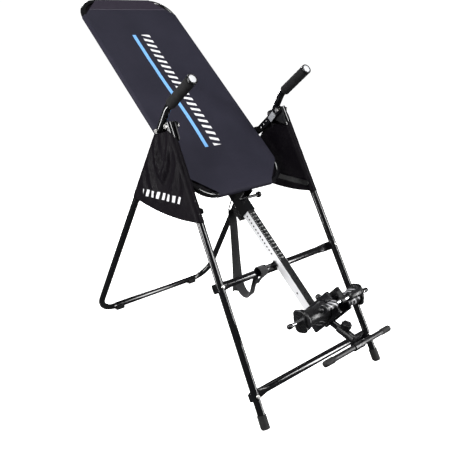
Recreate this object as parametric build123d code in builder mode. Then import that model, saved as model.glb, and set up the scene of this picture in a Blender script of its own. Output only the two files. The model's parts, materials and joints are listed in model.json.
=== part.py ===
from build123d import *
from math import atan2, cos, degrees, radians, sin
import os

# Inversion table, millimetres. +X is to the user's right-hand rear view, +Y runs from the ankle end
# to the head end, +Z is up. The origin lies on the floor, below the middle of the whole machine.
# Lengths given as "along" and "normal" belong to the table's own tilted frame: along runs up the bed
# from the feet to the head, normal points out of the bed towards the user.

# ---- whole machine ----
Y_SHIFT = -22.4           # from the table frame's origin to the machine's origin
TILT = 40.3               # slope of the bed above the horizontal at rest
TABLE_HEIGHT = 1041.3     # height of the table frame's origin
TUBE_R = 15.0             # 30 mm frame tube
TUBE_WALL = 1.6
BOLT_R = 4.0
BOLT_HOLE_R = 4.2
PIVOT_BOLT_R = 5.0
RUNNING_GAP = 0.06
BODY_GAP = 0.4            # clear space between bodies that move past each other

# ---- front legs ----
FOOT_X = 350.0
FOOT_Y = -593.5
LEG_TOP_X = 317.1
LEG_TOP_Y = -8.3          # the pivot bolt crosses the leg here
LEG_TOP_Z = 1040.9
LEG_START = 16.0          # tube end above the floor, along the leg
LEG_OVER_PIVOT = 12.0
FOOT_CAP_R = 18.0
FOOT_CAP_START = -2.0     # both along the leg, from the floor point of its axis
FOOT_CAP_TOP = 50.0

# ---- rear frame ----
RAIL_X = 362.2
RAIL_Y = 590.0
RAIL_Z = 21.0
RAIL_BEND_R = 100.0
RAIL_RISE = 190.0         # height where the rail's bent ends meet the straight legs
REAR_TOP_X = 318.9
REAR_TOP_Y = 36.7
REAR_TOP_Z = 1042.4
FOLD_PIVOT_Z = 1015.0
HANDLE_BEND_Z = 1110.4
HANDLE_BEND_R = 70.0
HANDLE_END_X = 309.6
HANDLE_END_Y = -138.0
HANDLE_END_Z = 1221.2
GRIP_LENGTH = 156.0
GRIP_R = 21.5
GRIP_CAP_R = 21.8
GRIP_CAP_LENGTH = 13.0
PAD_X = 238.0
PAD_WIDTH = 44.0
PAD_OVERHANG = 3.0

# ---- crossbars of the front frame ----
UPPER_BAR_Z = 478.9       # height where each bar's centre line of sight meets the leg's axis
LOWER_BAR_Z = 113.2
UPPER_BAR_OFFSET = 38.3   # behind the leg's axis, square to it
LOWER_BAR_OFFSET = 34.0
UPPER_BAR_DROP = 4.7      # down the leg from that height
LOWER_BAR_DROP = 9.7
BAR_STRAIGHT = 262.0      # half length of the round part
BAR_FLAT_START = 304.0
BAR_FLAT_END = 352.0
BAR_FLAT_HALF_HEIGHT = 18.5
BAR_FLAT_HALF_THICK = 4.5
BAR_FLAT_SHIFT = 10.5
BAR_SEAT_HALF = 15.0

# ---- pivot plates, bolts ----
PLATE_X = 295.5
PLATE_THICK = 5.0
PLATE_R = 17.0

# ---- folding braces ----
BRACE_Z = 735.0
FRONT_BRACE_X = 301.0
REAR_BRACE_X = 296.0
FRONT_STUD = 38.0
REAR_STUD = 48.0
BRACE_THICK = 4.0
BRACE_HALF_WIDTH = 11.0
BRACE_STUD_R = 4.0

# ---- bed ----
BED_TUBE_R = 12.7
BED_TUBE_WALL = 1.5
BED_HALF_WIDTH = 248.5
BED_NORMAL = -155.0
BED_HEAD = 885.3
BED_FOOT = -262.3
BED_CORNER_R = 100.0
BED_JOINT = 60.0
CROSS_TUBE_ALONG = 110.0
PANEL_THICK = 5.0
PANEL_HALF_WIDTH = 246.0
PANEL_CORNER = 96.0

# ---- pivot arms ----
ARM_X = 283.5
ARM_THICK = 5.0
ARM_HALF_WIDTH = 16.0
ARM_FOOT_ALONG = 14.0
ARM_HOLES = (-131.0, -108.0, -85.0)
ARM_HOLE_R = 4.5

# ---- boom and its sleeve ----
BOOM_HALF = 19.0
BOOM_WALL = 2.0
BOOM_NORMAL = -219.0
BOOM_TOP_END = -70.0
BOOM_LOW_END = -898.0
HOLE_PITCH = 17.5
HOLE_COUNT = 19
FIRST_HOLE = -242.6
LAST_HOLE = -753.1
HOLE_R = 4.2
SLEEVE_HALF = 23.0
SLEEVE_WALL = 3.0
SLEEVE_LOW_END = -352.0
SLEEVE_TOP_END = 132.0
BRACKET_HALF_LENGTH = 26.0
BRACKET_THICK = 4.0
PIN_ALONG = -277.6
PIN_R = 4.0
STRAP_X = -12.0

# ---- ankle clamp ----
CARRIAGE_HALF = 27.0
CARRIAGE_LOW = -905.0
CARRIAGE_TOP = -838.0
CARRIAGE_WALL = 8.0
TOWER_R = 22.0
ROD_R = 7.0
REAR_ROD_ALONG = -876.0
REAR_ROD_NORMAL = -128.0
REAR_ROD_HALF = 229.0
ROLLER_INNER_X = 38.0
ROLLER_OUTER_X = 167.0
ROLLER_END_R = 41.0
ROLLER_WAIST_R = 32.0
FRONT_ROD_ALONG = -884.0
FRONT_ROD_NORMAL = -55.0
FRONT_ROD_HALF = 122.0
FRONT_ROLLER_INNER_X = 40.0
FRONT_ROLLER_OUTER_X = 112.0
FRONT_ROLLER_END_R = 18.0
FRONT_ROLLER_WAIST_R = 15.0
INNER_PLATE_WIDTH = 98.0
INNER_PLATE_THICK = 9.0
INNER_PLATE_LOW = -238.0
INNER_PLATE_HIGH = -63.0
OUTER_PLATE_LONG = 88.0
OUTER_PLATE_SHORT = 58.0
OUTER_PLATE_THICK = 8.0
OUTER_PLATE_TURN = 35.0
POST_LOW = -856.0
POST_HIGH = -848.0
POST_HALF_WIDTH = 10.0
POST_BOTTOM = -196.0
HOUSING_LOW = -192.0
HOUSING_HIGH = -120.0
CLAMP_KNOB_NORMAL = -150.0

# ---- footrest ----
SHAFT_START = (-905.5, -173.7)
SHAFT_END = (-1055.5, -103.7)
SHAFT_R = 13.5
SHAFT_LENGTH = 108.0
CARRIER_START = 58.0
CARRIER_END = 146.0
CARRIER_BORE_END = 140.0
CARRIER_R = 17.5
KNOB_AT = 84.0
KNOB_BOSS_R = 11.0
KNOB_BOSS = 4.0
FOOTREST_ALONG = -1052.4
FOOTREST_NORMAL = -114.9
FOOTREST_HALF = 198.0
FOOTREST_R = 10.5


# ---------------------------------------------------------------- frames and helpers

TILT_COS = cos(radians(TILT))
TILT_SIN = sin(radians(TILT))
ALONG = Vector(0, TILT_COS, TILT_SIN)
NORMAL = Vector(0, -TILT_SIN, TILT_COS)
ACROSS = Vector(1, 0, 0)
TABLE_ORIGIN = Vector(0, Y_SHIFT, TABLE_HEIGHT)
TABLE = Plane(origin=TABLE_ORIGIN, x_dir=ACROSS, z_dir=NORMAL)


def table_point(x, along, normal):
    """A point given in the table's tilted frame."""
    return TABLE_ORIGIN + ACROSS * x + ALONG * along + NORMAL * normal


def table_side(x):
    """Plane square to X whose sketch axes are along and normal."""
    return Plane(origin=table_point(x, 0, 0), x_dir=ALONG, z_dir=ACROSS)


def table_section(along):
    """Plane square to the bed's length whose sketch axes are X and normal."""
    return Plane(origin=table_point(0, along, 0), x_dir=ACROSS, z_dir=ALONG * -1)


def axis_plane(start, end):
    """Plane at start that faces end, for a profile drawn round that line."""
    return Plane(origin=start, z_dir=end - start)


def leg_point(side, height):
    """Point on a front leg's axis at a height above the floor."""
    share = height / LEG_TOP_Z
    x = FOOT_X + (LEG_TOP_X - FOOT_X) * share
    y = FOOT_Y + (LEG_TOP_Y - FOOT_Y) * share
    return Vector(side * x, y + Y_SHIFT, height)


def rear_point(side, height):
    """Point on a rear leg's axis at a height above the floor."""
    share = (height - RAIL_Z) / (REAR_TOP_Z - RAIL_Z)
    x = RAIL_X + (REAR_TOP_X - RAIL_X) * share
    y = RAIL_Y + (REAR_TOP_Y - RAIL_Y) * share
    return Vector(side * x, y + Y_SHIFT, height)


def handle_end(side):
    return Vector(side * HANDLE_END_X, HANDLE_END_Y + Y_SHIFT, HANDLE_END_Z)


# The front leg's direction seen from the side, and the direction square to it that faces forwards.
LEG_LEAN = atan2(LEG_TOP_Y - FOOT_Y, LEG_TOP_Z)
LEG_UP = Vector(0, sin(LEG_LEAN), cos(LEG_LEAN))
LEG_FORWARD = Vector(0, -cos(LEG_LEAN), sin(LEG_LEAN))
PIVOT_Y = LEG_TOP_Y + Y_SHIFT
FOLD_PIVOT = rear_point(1, FOLD_PIVOT_Z)


def bar_centre(height, offset):
    """Centre of a crossbar that lies behind the legs, at x = 0."""
    on_leg = leg_point(0, height)
    return Vector(0, on_leg.Y, on_leg.Z) - LEG_FORWARD * offset


def bar_plane(centre, x):
    """Plane square to a crossbar; its sketch x runs up the leg and its sketch y faces the leg."""
    return Plane(origin=centre + ACROSS * x, x_dir=LEG_UP, z_dir=ACROSS)


UPPER_BAR = bar_centre(UPPER_BAR_Z, UPPER_BAR_OFFSET) - LEG_UP * UPPER_BAR_DROP
LOWER_BAR = bar_centre(LOWER_BAR_Z, LOWER_BAR_OFFSET) - LEG_UP * LOWER_BAR_DROP


def bar_bolt_point(side, centre):
    """Where a crossbar's bolt crosses the leg's axis."""
    height = centre.Z
    for _ in range(4):
        along_leg = (leg_point(side, height) - centre).dot(LEG_UP)
        height = height - along_leg * cos(LEG_LEAN)
    return leg_point(side, height)


def save(builder, name):
    builder.part.label = name
    export_step(builder.part, f"parts/{name}.step")


def hole_x(plane_point, radius):
    """Cut a round hole parallel to X through the part being built."""
    with BuildSketch(Plane.YZ) as hole:
        with Locations((plane_point.Y, plane_point.Z)):
            Circle(radius)
    extrude(hole.sketch, amount=FOOT_X + RAIL_X, both=True, mode=Mode.SUBTRACT)


# ---------------------------------------------------------------- front frame

def front_leg(side):
    """Straight tube from the floor cap to just above the pivot bolt."""
    foot = leg_point(side, 0)
    top = leg_point(side, LEG_TOP_Z)
    length = (top - foot).length + LEG_OVER_PIVOT - LEG_START
    with BuildPart() as leg:
        with BuildSketch(axis_plane(foot, top).offset(LEG_START)):
            Circle(TUBE_R)
            Circle(TUBE_R - TUBE_WALL, mode=Mode.SUBTRACT)
        extrude(amount=length)
        hole_x(top, PIVOT_BOLT_R + RUNNING_GAP)
        hole_x(leg_point(side, BRACE_Z), BRACE_STUD_R + RUNNING_GAP)
        for centre in (UPPER_BAR, LOWER_BAR):
            with BuildSketch(Plane(origin=bar_bolt_point(side, centre), z_dir=LEG_FORWARD)):
                Circle(BOLT_HOLE_R)
            extrude(amount=TUBE_R * 2, both=True, mode=Mode.SUBTRACT)
    return leg


def front_foot(side):
    """Rubber cup under a front leg, cut level with the floor."""
    foot = leg_point(side, 0)
    top = leg_point(side, LEG_TOP_Z)
    with BuildPart() as cap:
        with BuildSketch(axis_plane(foot, top).offset(FOOT_CAP_START)):
            Circle(FOOT_CAP_R)
        extrude(amount=FOOT_CAP_TOP - FOOT_CAP_START)
        with BuildSketch(axis_plane(foot, top).offset(LEG_START)):
            Circle(TUBE_R)
        extrude(amount=FOOT_CAP_TOP, mode=Mode.SUBTRACT)
        split(bisect_by=Plane.XY, keep=Keep.TOP)
    return cap


def crossbar(centre, offset):
    """Round bar whose ends are pressed flat and seated on the backs of the legs."""
    with BuildPart() as bar:
        with BuildSketch(bar_plane(centre, -BAR_STRAIGHT)):
            Circle(TUBE_R)
        extrude(amount=BAR_STRAIGHT * 2)
        for side in (-1, 1):
            with BuildSketch(bar_plane(centre, side * BAR_STRAIGHT)):
                Circle(TUBE_R)
            with BuildSketch(bar_plane(centre, side * BAR_FLAT_START)):
                with Locations((0, BAR_FLAT_SHIFT)):
                    Ellipse(BAR_FLAT_HALF_HEIGHT, BAR_FLAT_HALF_THICK)
            loft()
            with BuildSketch(bar_plane(centre, side * BAR_FLAT_START)):
                with Locations((0, BAR_FLAT_SHIFT)):
                    Ellipse(BAR_FLAT_HALF_HEIGHT, BAR_FLAT_HALF_THICK)
            extrude(amount=side * (BAR_FLAT_END - BAR_FLAT_START))
            seat = bar_bolt_point(side, centre)
            seat_depth = offset - BAR_FLAT_SHIFT
            with BuildSketch(bar_plane(Vector(0, centre.Y, centre.Z), seat.X)):
                with Locations((0, BAR_FLAT_SHIFT + seat_depth / 2)):
                    Rectangle(BAR_SEAT_HALF * 2, seat_depth)
            extrude(amount=BAR_SEAT_HALF, both=True)
            foot = leg_point(side, 0)
            with BuildSketch(axis_plane(foot, leg_point(side, LEG_TOP_Z))):
                Circle(TUBE_R + RUNNING_GAP)
            extrude(amount=LEG_TOP_Z, mode=Mode.SUBTRACT)
            with BuildSketch(Plane(origin=seat, z_dir=LEG_FORWARD)):
                Circle(BOLT_HOLE_R)
            extrude(amount=-offset * 2, mode=Mode.SUBTRACT)
    return bar


def crossbar_bolts():
    """The four dome-headed bolts through the legs and the flat bar ends, with their nuts."""
    head_height = 4.5
    head_r = 8.0
    nut_height = 6.0
    nut_r = 7.5
    with BuildPart() as bolts:
        for centre, offset in ((UPPER_BAR, UPPER_BAR_OFFSET), (LOWER_BAR, LOWER_BAR_OFFSET)):
            back = offset - BAR_FLAT_SHIFT + BAR_FLAT_HALF_THICK
            for side in (-1, 1):
                axis = Plane(origin=bar_bolt_point(side, centre), z_dir=LEG_FORWARD)
                with BuildSketch(axis.offset(-back - nut_height)):
                    Circle(BOLT_R)
                extrude(amount=back + nut_height + TUBE_R + 1)
                with BuildSketch(axis.offset(-back - nut_height)):
                    RegularPolygon(radius=nut_r, side_count=6)
                extrude(amount=nut_height - RUNNING_GAP)
                with BuildSketch(axis.offset(TUBE_R + RUNNING_GAP)):
                    Circle(head_r)
                extrude(amount=head_height)
                rims = bolts.edges(Select.LAST).filter_by(GeomType.CIRCLE)
                fillet(rims.sort_by(Axis((0, 0, 0), tuple(LEG_FORWARD)))[-1], radius=3.5)
    return bolts


def pivot_plate(side):
    """Steel link from the top of the front leg to the rear frame's fold bolt."""
    tail = leg_point(side, LEG_TOP_Z - 46.0)
    corners = ((PIVOT_Y, LEG_TOP_Z, PLATE_R), (FOLD_PIVOT.Y, FOLD_PIVOT.Z, PLATE_R - 2),
               (tail.Y, tail.Z, PLATE_R - 5))
    with BuildPart() as plate:
        with BuildSketch(Plane.YZ.offset(side * PLATE_X)):
            for y, z, radius in corners:
                with Locations((y, z)):
                    Circle(radius)
            make_hull()
            with Locations((PIVOT_Y, LEG_TOP_Z), (FOLD_PIVOT.Y, FOLD_PIVOT.Z)):
                Circle(PIVOT_BOLT_R + RUNNING_GAP, mode=Mode.SUBTRACT)
        extrude(amount=side * PLATE_THICK)
    return plate


def stepped_bolts(y, z, steps):
    """A left and a right bolt parallel to X, each a stack of (start, end, radius) cylinders."""
    with BuildPart() as bolts:
        for side in (-1, 1):
            for start, end, radius in steps:
                with BuildSketch(Plane.YZ.offset(side * start)):
                    with Locations((y, z)):
                        Circle(radius)
                extrude(amount=side * (end - start))
    return bolts


def pivot_bolts():
    """Shouldered bolts that carry the table's arms, headed outside the legs, nutted inside."""
    head_x = LEG_TOP_X + TUBE_R + 0.5
    leg_inner = LEG_TOP_X - TUBE_R - 1.0
    arm_outer = ARM_X + ARM_THICK + BODY_GAP
    nut_x = ARM_X - BODY_GAP
    head, washer, shoulder, nut = 9.0, 8.5, 10.0, 8.5
    return stepped_bolts(PIVOT_Y, LEG_TOP_Z, (
        (nut_x - 9.0, head_x + 1.0, PIVOT_BOLT_R),
        (head_x, head_x + 7.0, head),
        (PLATE_X + PLATE_THICK + 0.1, leg_inner, washer),
        (arm_outer, PLATE_X - 0.1, shoulder),
        (nut_x - 8.0, nut_x, nut),
    ))


def boom_saddle():
    """Clip on the upper crossbar that the boom comes down on, with a hook wing for the strap."""
    wing_x = -102.0
    seat_x = 29.0
    thick = 3.0
    ear_depth = 26.0
    ears = ((-24.5, -4.0, 22.0), (24.5, 4.0, 14.0), (-78.0, -4.0, 18.0))
    with BuildPart() as saddle:
        with BuildSketch(bar_plane(UPPER_BAR, wing_x)):
            Circle(TUBE_R + thick)
        extrude(amount=seat_x - wing_x)
        for start, width, rise in ears:
            with BuildSketch(Plane(origin=UPPER_BAR + ACROSS * start, x_dir=ALONG, z_dir=ACROSS)):
                with Locations((0, (TUBE_R + rise) / 2)):
                    Rectangle(ear_depth, TUBE_R + rise)
            extrude(amount=width)
        with BuildSketch(bar_plane(UPPER_BAR, wing_x)):
            Circle(TUBE_R + RUNNING_GAP)
        extrude(amount=(seat_x - wing_x) * 2, both=True, mode=Mode.SUBTRACT)
    return saddle


def side_cover(side):
    """Plain stand-in for the fabric web between the front and rear legs."""
    inner_x = 349.6
    cover_thick = 2.0
    corners = ((-50, 1028), (58, 1028), (232, 694), (150, 672), (20, 664), (-120, 684), (-226, 712))
    with BuildPart() as cover:
        with BuildSketch(Plane.YZ.offset(side * inner_x)):
            Polygon(*[(y + Y_SHIFT, z) for y, z in corners], align=None)
        extrude(amount=side * cover_thick)
    return cover


# ---------------------------------------------------------------- folding braces

def brace(side, leg_axis_point, plate_x, stud_reach):
    """Flat half of a folding brace with a stud that turns in its leg."""
    front = leg_point(side, BRACE_Z)
    rear = rear_point(side, BRACE_Z)
    middle_y = (front.Y + rear.Y) / 2
    with BuildPart() as arm:
        with BuildSketch(Plane.YZ.offset(side * plate_x)):
            with Locations((leg_axis_point.Y, BRACE_Z), (middle_y, BRACE_Z)):
                Circle(BRACE_HALF_WIDTH)
            make_hull()
            with Locations((middle_y, BRACE_Z)):
                Circle(BRACE_STUD_R, mode=Mode.SUBTRACT)
        extrude(amount=side * BRACE_THICK)
        with BuildSketch(Plane.YZ.offset(side * plate_x)):
            with Locations((leg_axis_point.Y, BRACE_Z)):
                Circle(BRACE_STUD_R)
        extrude(amount=side * stud_reach)
    return arm


# ---------------------------------------------------------------- rear frame

def rear_rail():
    """U-shaped floor tube; its bent ends rise to meet the straight rear legs."""
    left = rear_point(-1, RAIL_RISE)
    right = rear_point(1, RAIL_RISE)
    with BuildPart() as rail:
        with BuildLine() as path:
            FilletPolyline(left, rear_point(-1, RAIL_Z), rear_point(1, RAIL_Z), right,
                           radius=RAIL_BEND_R)
        with BuildSketch(axis_plane(left, rear_point(-1, RAIL_Z))):
            Circle(TUBE_R)
            Circle(TUBE_R - TUBE_WALL, mode=Mode.SUBTRACT)
        sweep(path=path.wire())
    return rail


def rear_leg(side):
    """Straight rear leg that runs on past the fold bolt and bends forwards into the hand hold."""
    low = rear_point(side, RAIL_RISE + 0.2)
    bend = rear_point(side, HANDLE_BEND_Z)
    with BuildPart() as leg:
        with BuildLine() as path:
            FilletPolyline(low, bend, handle_end(side), radius=HANDLE_BEND_R)
        with BuildSketch(axis_plane(low, bend)):
            Circle(TUBE_R)
            Circle(TUBE_R - TUBE_WALL, mode=Mode.SUBTRACT)
        sweep(path=path.wire())
        hole_x(rear_point(side, FOLD_PIVOT_Z), PIVOT_BOLT_R + RUNNING_GAP)
        hole_x(rear_point(side, BRACE_Z), BRACE_STUD_R + RUNNING_GAP)
    return leg


def rail_pad(side):
    """Rubber block clipped under the floor tube."""
    with BuildPart() as pad:
        with BuildSketch(Plane.YZ.offset(side * PAD_X - PAD_WIDTH / 2)):
            with Locations((RAIL_Y + Y_SHIFT, RAIL_Z / 2)):
                Rectangle((TUBE_R + PAD_OVERHANG) * 2, RAIL_Z)
            with Locations((RAIL_Y + Y_SHIFT, RAIL_Z)):
                Circle(TUBE_R + RUNNING_GAP, mode=Mode.SUBTRACT)
        extrude(amount=PAD_WIDTH)
    return pad


def grip(side):
    """Foam sleeve on the hand hold."""
    end = handle_end(side)
    start = end + (rear_point(side, HANDLE_BEND_Z) - end).normalized() * GRIP_LENGTH
    with BuildPart() as foam:
        with BuildSketch(axis_plane(start, end)):
            Circle(GRIP_R)
            Circle(TUBE_R + RUNNING_GAP, mode=Mode.SUBTRACT)
        extrude(amount=GRIP_LENGTH)
        fillet(foam.edges().filter_by(GeomType.CIRCLE).group_by(SortBy.RADIUS)[-1], radius=3.0)
    return foam


def grip_cap(side):
    """Plastic plug that closes the end of the hand hold."""
    end = handle_end(side)
    outward = end - rear_point(side, HANDLE_BEND_Z)
    with BuildPart() as cap:
        with BuildSketch(Plane(origin=end, z_dir=outward).offset(0.1)):
            Circle(GRIP_CAP_R)
        extrude(amount=GRIP_CAP_LENGTH)
        fillet(cap.edges().filter_by(GeomType.CIRCLE), radius=4.5)
    return cap


def fold_bolts():
    """Bolts on which the rear frame folds, headed outside the rear legs."""
    leg_x = FOLD_PIVOT.X
    head, washer, nut = 8.5, 9.0, 8.0
    return stepped_bolts(FOLD_PIVOT.Y, FOLD_PIVOT.Z, (
        (PLATE_X - 6.0, leg_x + TUBE_R + 1.0, PIVOT_BOLT_R),
        (leg_x + TUBE_R + 0.6, leg_x + TUBE_R + 6.0, head),
        (PLATE_X + PLATE_THICK + BODY_GAP, leg_x - TUBE_R - 1.0, washer),
        (PLATE_X - 6.5, PLATE_X - BODY_GAP, nut),
    ))


# ---------------------------------------------------------------- table

def bed_loop(end_along, radius):
    """Half of the bed's tubular loop, from its joint to one rounded end."""
    corners = [
        table_point(-BED_HALF_WIDTH, BED_JOINT, BED_NORMAL),
        table_point(-BED_HALF_WIDTH, end_along, BED_NORMAL),
        table_point(BED_HALF_WIDTH, end_along, BED_NORMAL),
        table_point(BED_HALF_WIDTH, BED_JOINT, BED_NORMAL),
    ]
    gap = 0.2 if end_along > BED_JOINT else -0.2
    corners[0] = corners[0] + ALONG * gap
    corners[3] = corners[3] + ALONG * gap
    with BuildPart() as loop:
        with BuildLine() as path:
            FilletPolyline(*corners, radius=radius)
        with BuildSketch(axis_plane(corners[0], corners[1])):
            Circle(BED_TUBE_R)
            Circle(BED_TUBE_R - BED_TUBE_WALL, mode=Mode.SUBTRACT)
        sweep(path=path.wire())
    return loop


def bed_cross_tube():
    """Tube across the loop that the boom's sleeve hangs from, coped to the side tubes."""
    with BuildPart() as tube:
        with BuildSketch(table_side(-BED_HALF_WIDTH)):
            with Locations((CROSS_TUBE_ALONG, BED_NORMAL)):
                Circle(BED_TUBE_R)
                Circle(BED_TUBE_R - BED_TUBE_WALL, mode=Mode.SUBTRACT)
        extrude(amount=BED_HALF_WIDTH * 2)
        for side in (-1, 1):
            with BuildSketch(table_section(0)):
                with Locations((side * BED_HALF_WIDTH, BED_NORMAL)):
                    Circle(BED_TUBE_R + RUNNING_GAP)
            extrude(amount=-CROSS_TUBE_ALONG * 2, mode=Mode.SUBTRACT)
    return tube


def bed_panel():
    """Plain stand-in for the stretched fabric: a thin slab on top of the loop."""
    low = BED_FOOT + 4.0
    high = BED_HEAD - 4.0
    half = PANEL_HALF_WIDTH
    cut = PANEL_CORNER
    outline = (
        (-half, low + cut), (-half + cut, low), (half - cut, low), (half, low + cut),
        (half, high - cut), (half - cut, high), (-half + cut, high), (-half, high - cut),
    )
    with BuildPart() as panel:
        with BuildSketch(TABLE.offset(BED_NORMAL + BED_TUBE_R + 0.3)):
            Polygon(*outline, align=None)
        extrude(amount=PANEL_THICK)
    return panel


def pivot_arm(side):
    """Flat steel arm from the bed's side tube up to the pivot bolt, with a row of setting holes."""
    bolt = TABLE.to_local_coords(Vector(0, PIVOT_Y, LEG_TOP_Z))
    block_half = 15.0
    label_thick = 2.5
    with BuildPart() as arm:
        with BuildSketch(table_side(side * ARM_X)):
            with Locations((bolt.Y, bolt.Z), (ARM_FOOT_ALONG, BED_NORMAL)):
                Circle(ARM_HALF_WIDTH)
            make_hull()
            with Locations((bolt.Y, bolt.Z)):
                Circle(PIVOT_BOLT_R + RUNNING_GAP, mode=Mode.SUBTRACT)
            with Locations(*[(ARM_FOOT_ALONG * normal / BED_NORMAL, normal) for normal in ARM_HOLES]):
                Circle(ARM_HOLE_R, mode=Mode.SUBTRACT)
        extrude(amount=side * ARM_THICK)
        with BuildSketch(table_side(side * ARM_X)):
            with Locations((0, -50)):
                Rectangle(26, 40)
        extrude(amount=-side * label_thick)
        with BuildSketch(table_side(side * BED_HALF_WIDTH)):
            with Locations((ARM_FOOT_ALONG, BED_NORMAL)):
                Rectangle(block_half * 2, BED_TUBE_R * 2)
        extrude(amount=side * (ARM_X - BED_HALF_WIDTH))
        with BuildSketch(table_section(0)):
            with Locations((side * BED_HALF_WIDTH, BED_NORMAL)):
                Circle(BED_TUBE_R + 1.5)
        extrude(amount=BED_HALF_WIDTH, both=True, mode=Mode.SUBTRACT)
        with BuildSketch(TABLE.offset(BED_NORMAL - BED_TUBE_R)):
            with Locations((side * BED_HALF_WIDTH, ARM_FOOT_ALONG)):
                Rectangle(BED_TUBE_R * 2, block_half * 4)
        extrude(amount=BED_TUBE_R * 2, mode=Mode.SUBTRACT)
    return arm


def boom_sleeve():
    """Square outer tube fixed under the bed, in which the boom slides."""
    with BuildPart() as sleeve:
        with BuildSketch(table_section(SLEEVE_TOP_END)):
            with Locations((0, BOOM_NORMAL)):
                Rectangle(SLEEVE_HALF * 2, SLEEVE_HALF * 2)
                Rectangle((SLEEVE_HALF - SLEEVE_WALL) * 2, (SLEEVE_HALF - SLEEVE_WALL) * 2,
                          mode=Mode.SUBTRACT)
        extrude(amount=SLEEVE_TOP_END - SLEEVE_LOW_END)
        with BuildSketch(table_side(0)):
            with Locations((PIN_ALONG, BOOM_NORMAL)):
                Circle(PIN_R + RUNNING_GAP)
        extrude(amount=SLEEVE_HALF * 2, mode=Mode.SUBTRACT)
    return sleeve


def sleeve_bracket(along):
    """Channel that joins the boom's sleeve to a tube of the bed."""
    outer = SLEEVE_HALF + BRACKET_THICK
    low = BOOM_NORMAL + SLEEVE_HALF - 9.0
    high = BED_NORMAL + 4.0
    web = BOOM_NORMAL + SLEEVE_HALF
    with BuildPart() as bracket:
        with BuildSketch(table_section(along + BRACKET_HALF_LENGTH)):
            with Locations((0, (low + high) / 2)):
                Rectangle(outer * 2, high - low)
            with Locations((0, (low + web) / 2)):
                Rectangle(SLEEVE_HALF * 2 + RUNNING_GAP, web - low, mode=Mode.SUBTRACT)
            with Locations((0, (web + BRACKET_THICK + high) / 2)):
                Rectangle(SLEEVE_HALF * 2, high - web - BRACKET_THICK, mode=Mode.SUBTRACT)
        extrude(amount=BRACKET_HALF_LENGTH * 2)
        with BuildSketch(table_side(0)):
            with Locations((along, BED_NORMAL)):
                Circle(BED_TUBE_R + RUNNING_GAP)
        extrude(amount=outer * 2, both=True, mode=Mode.SUBTRACT)
    return bracket


def guide_housing():
    """Rounded plastic housing under the mouth of the sleeve."""
    length = 60.0
    height = 32.0
    along = SLEEVE_LOW_END + length / 2
    top = BOOM_NORMAL - SLEEVE_HALF - 0.1
    with BuildPart() as housing:
        with BuildSketch(table_side(0)):
            with Locations((along, top - height / 2)):
                Rectangle(length, height)
            fillet(vertices().group_by(Axis((0, 0, 0), tuple(NORMAL)))[0], radius=18)
        extrude(amount=SLEEVE_HALF - 2, both=True)
        fillet(housing.edges().group_by(Axis((0, 0, 0), tuple(NORMAL)))[0], radius=3)
    return housing


def pin_boss():
    """Threaded boss on the sleeve that guides the height pin and holds its spring."""
    hexagon_r = 12.0
    length = 16.0
    with BuildPart() as boss:
        with BuildSketch(table_side(SLEEVE_HALF + 0.05)):
            with Locations((PIN_ALONG, BOOM_NORMAL)):
                RegularPolygon(radius=hexagon_r, side_count=6)
                Circle(PIN_R + RUNNING_GAP, mode=Mode.SUBTRACT)
        extrude(amount=length)
    return boss


def height_pin():
    """Pull pin: its tip stands in the sleeve's wall, its long grip ends in a ball."""
    tip_x = BOOM_HALF + 0.5
    grip_x = 41.0
    grip_r = 6.5
    ball_x = 113.0
    ball_r = 14.0
    with BuildPart() as pin:
        for start, end, radius in ((tip_x, grip_x, PIN_R), (grip_x, ball_x, grip_r)):
            with BuildSketch(table_side(start)):
                with Locations((PIN_ALONG, BOOM_NORMAL)):
                    Circle(radius)
            extrude(amount=end - start)
        with Locations(table_point(ball_x, PIN_ALONG, BOOM_NORMAL)):
            Sphere(ball_r)
    return pin


def strap_ring():
    """Flat wire triangle under the sleeve that carries the tether strap."""
    top = table_point(STRAP_X, -250.0, BOOM_NORMAL - SLEEVE_HALF)
    drop = 50.0
    neck_half = 5.0
    base_half = 24.0
    wire = 3.5
    plane = Plane(origin=(top.X, top.Y - 2.0, top.Z - 3.0), x_dir=ACROSS, z_dir=(0, -1, 0))
    with BuildPart() as ring:
        with BuildSketch(plane):
            Polygon((-neck_half, 0), (neck_half, 0), (base_half, -drop), (-base_half, -drop),
                    align=None)
            fillet(vertices(), radius=3.0)
            offset(amount=-wire, mode=Mode.SUBTRACT)
        extrude(amount=-4.0)
    return ring


def tether_strap():
    """Slack webbing from the ring down and back up to the upper crossbar."""
    start = Vector(STRAP_X, -25.0 + Y_SHIFT, 634.0)
    end = Vector(-88.0, UPPER_BAR.Y, UPPER_BAR.Z - TUBE_R - 6.0)
    low = 292.0
    bend_r = 48.0
    width = 38.0
    webbing = 2.0
    run = Vector(end.X - start.X, end.Y - start.Y, 0)
    reach = run.length
    plane = Plane(origin=(start.X, start.Y, 0), x_dir=run, z_dir=run.cross(Vector(0, 0, 1)))
    with BuildPart() as strap:
        with BuildSketch(plane):
            with BuildLine():
                FilletPolyline((0, start.Z), (reach * 0.38, low), (reach * 0.82, low),
                               (reach, end.Z), radius=bend_r)
            trace(line_width=webbing)
        extrude(amount=width / 2, both=True)
    return strap


# ---------------------------------------------------------------- boom

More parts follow.
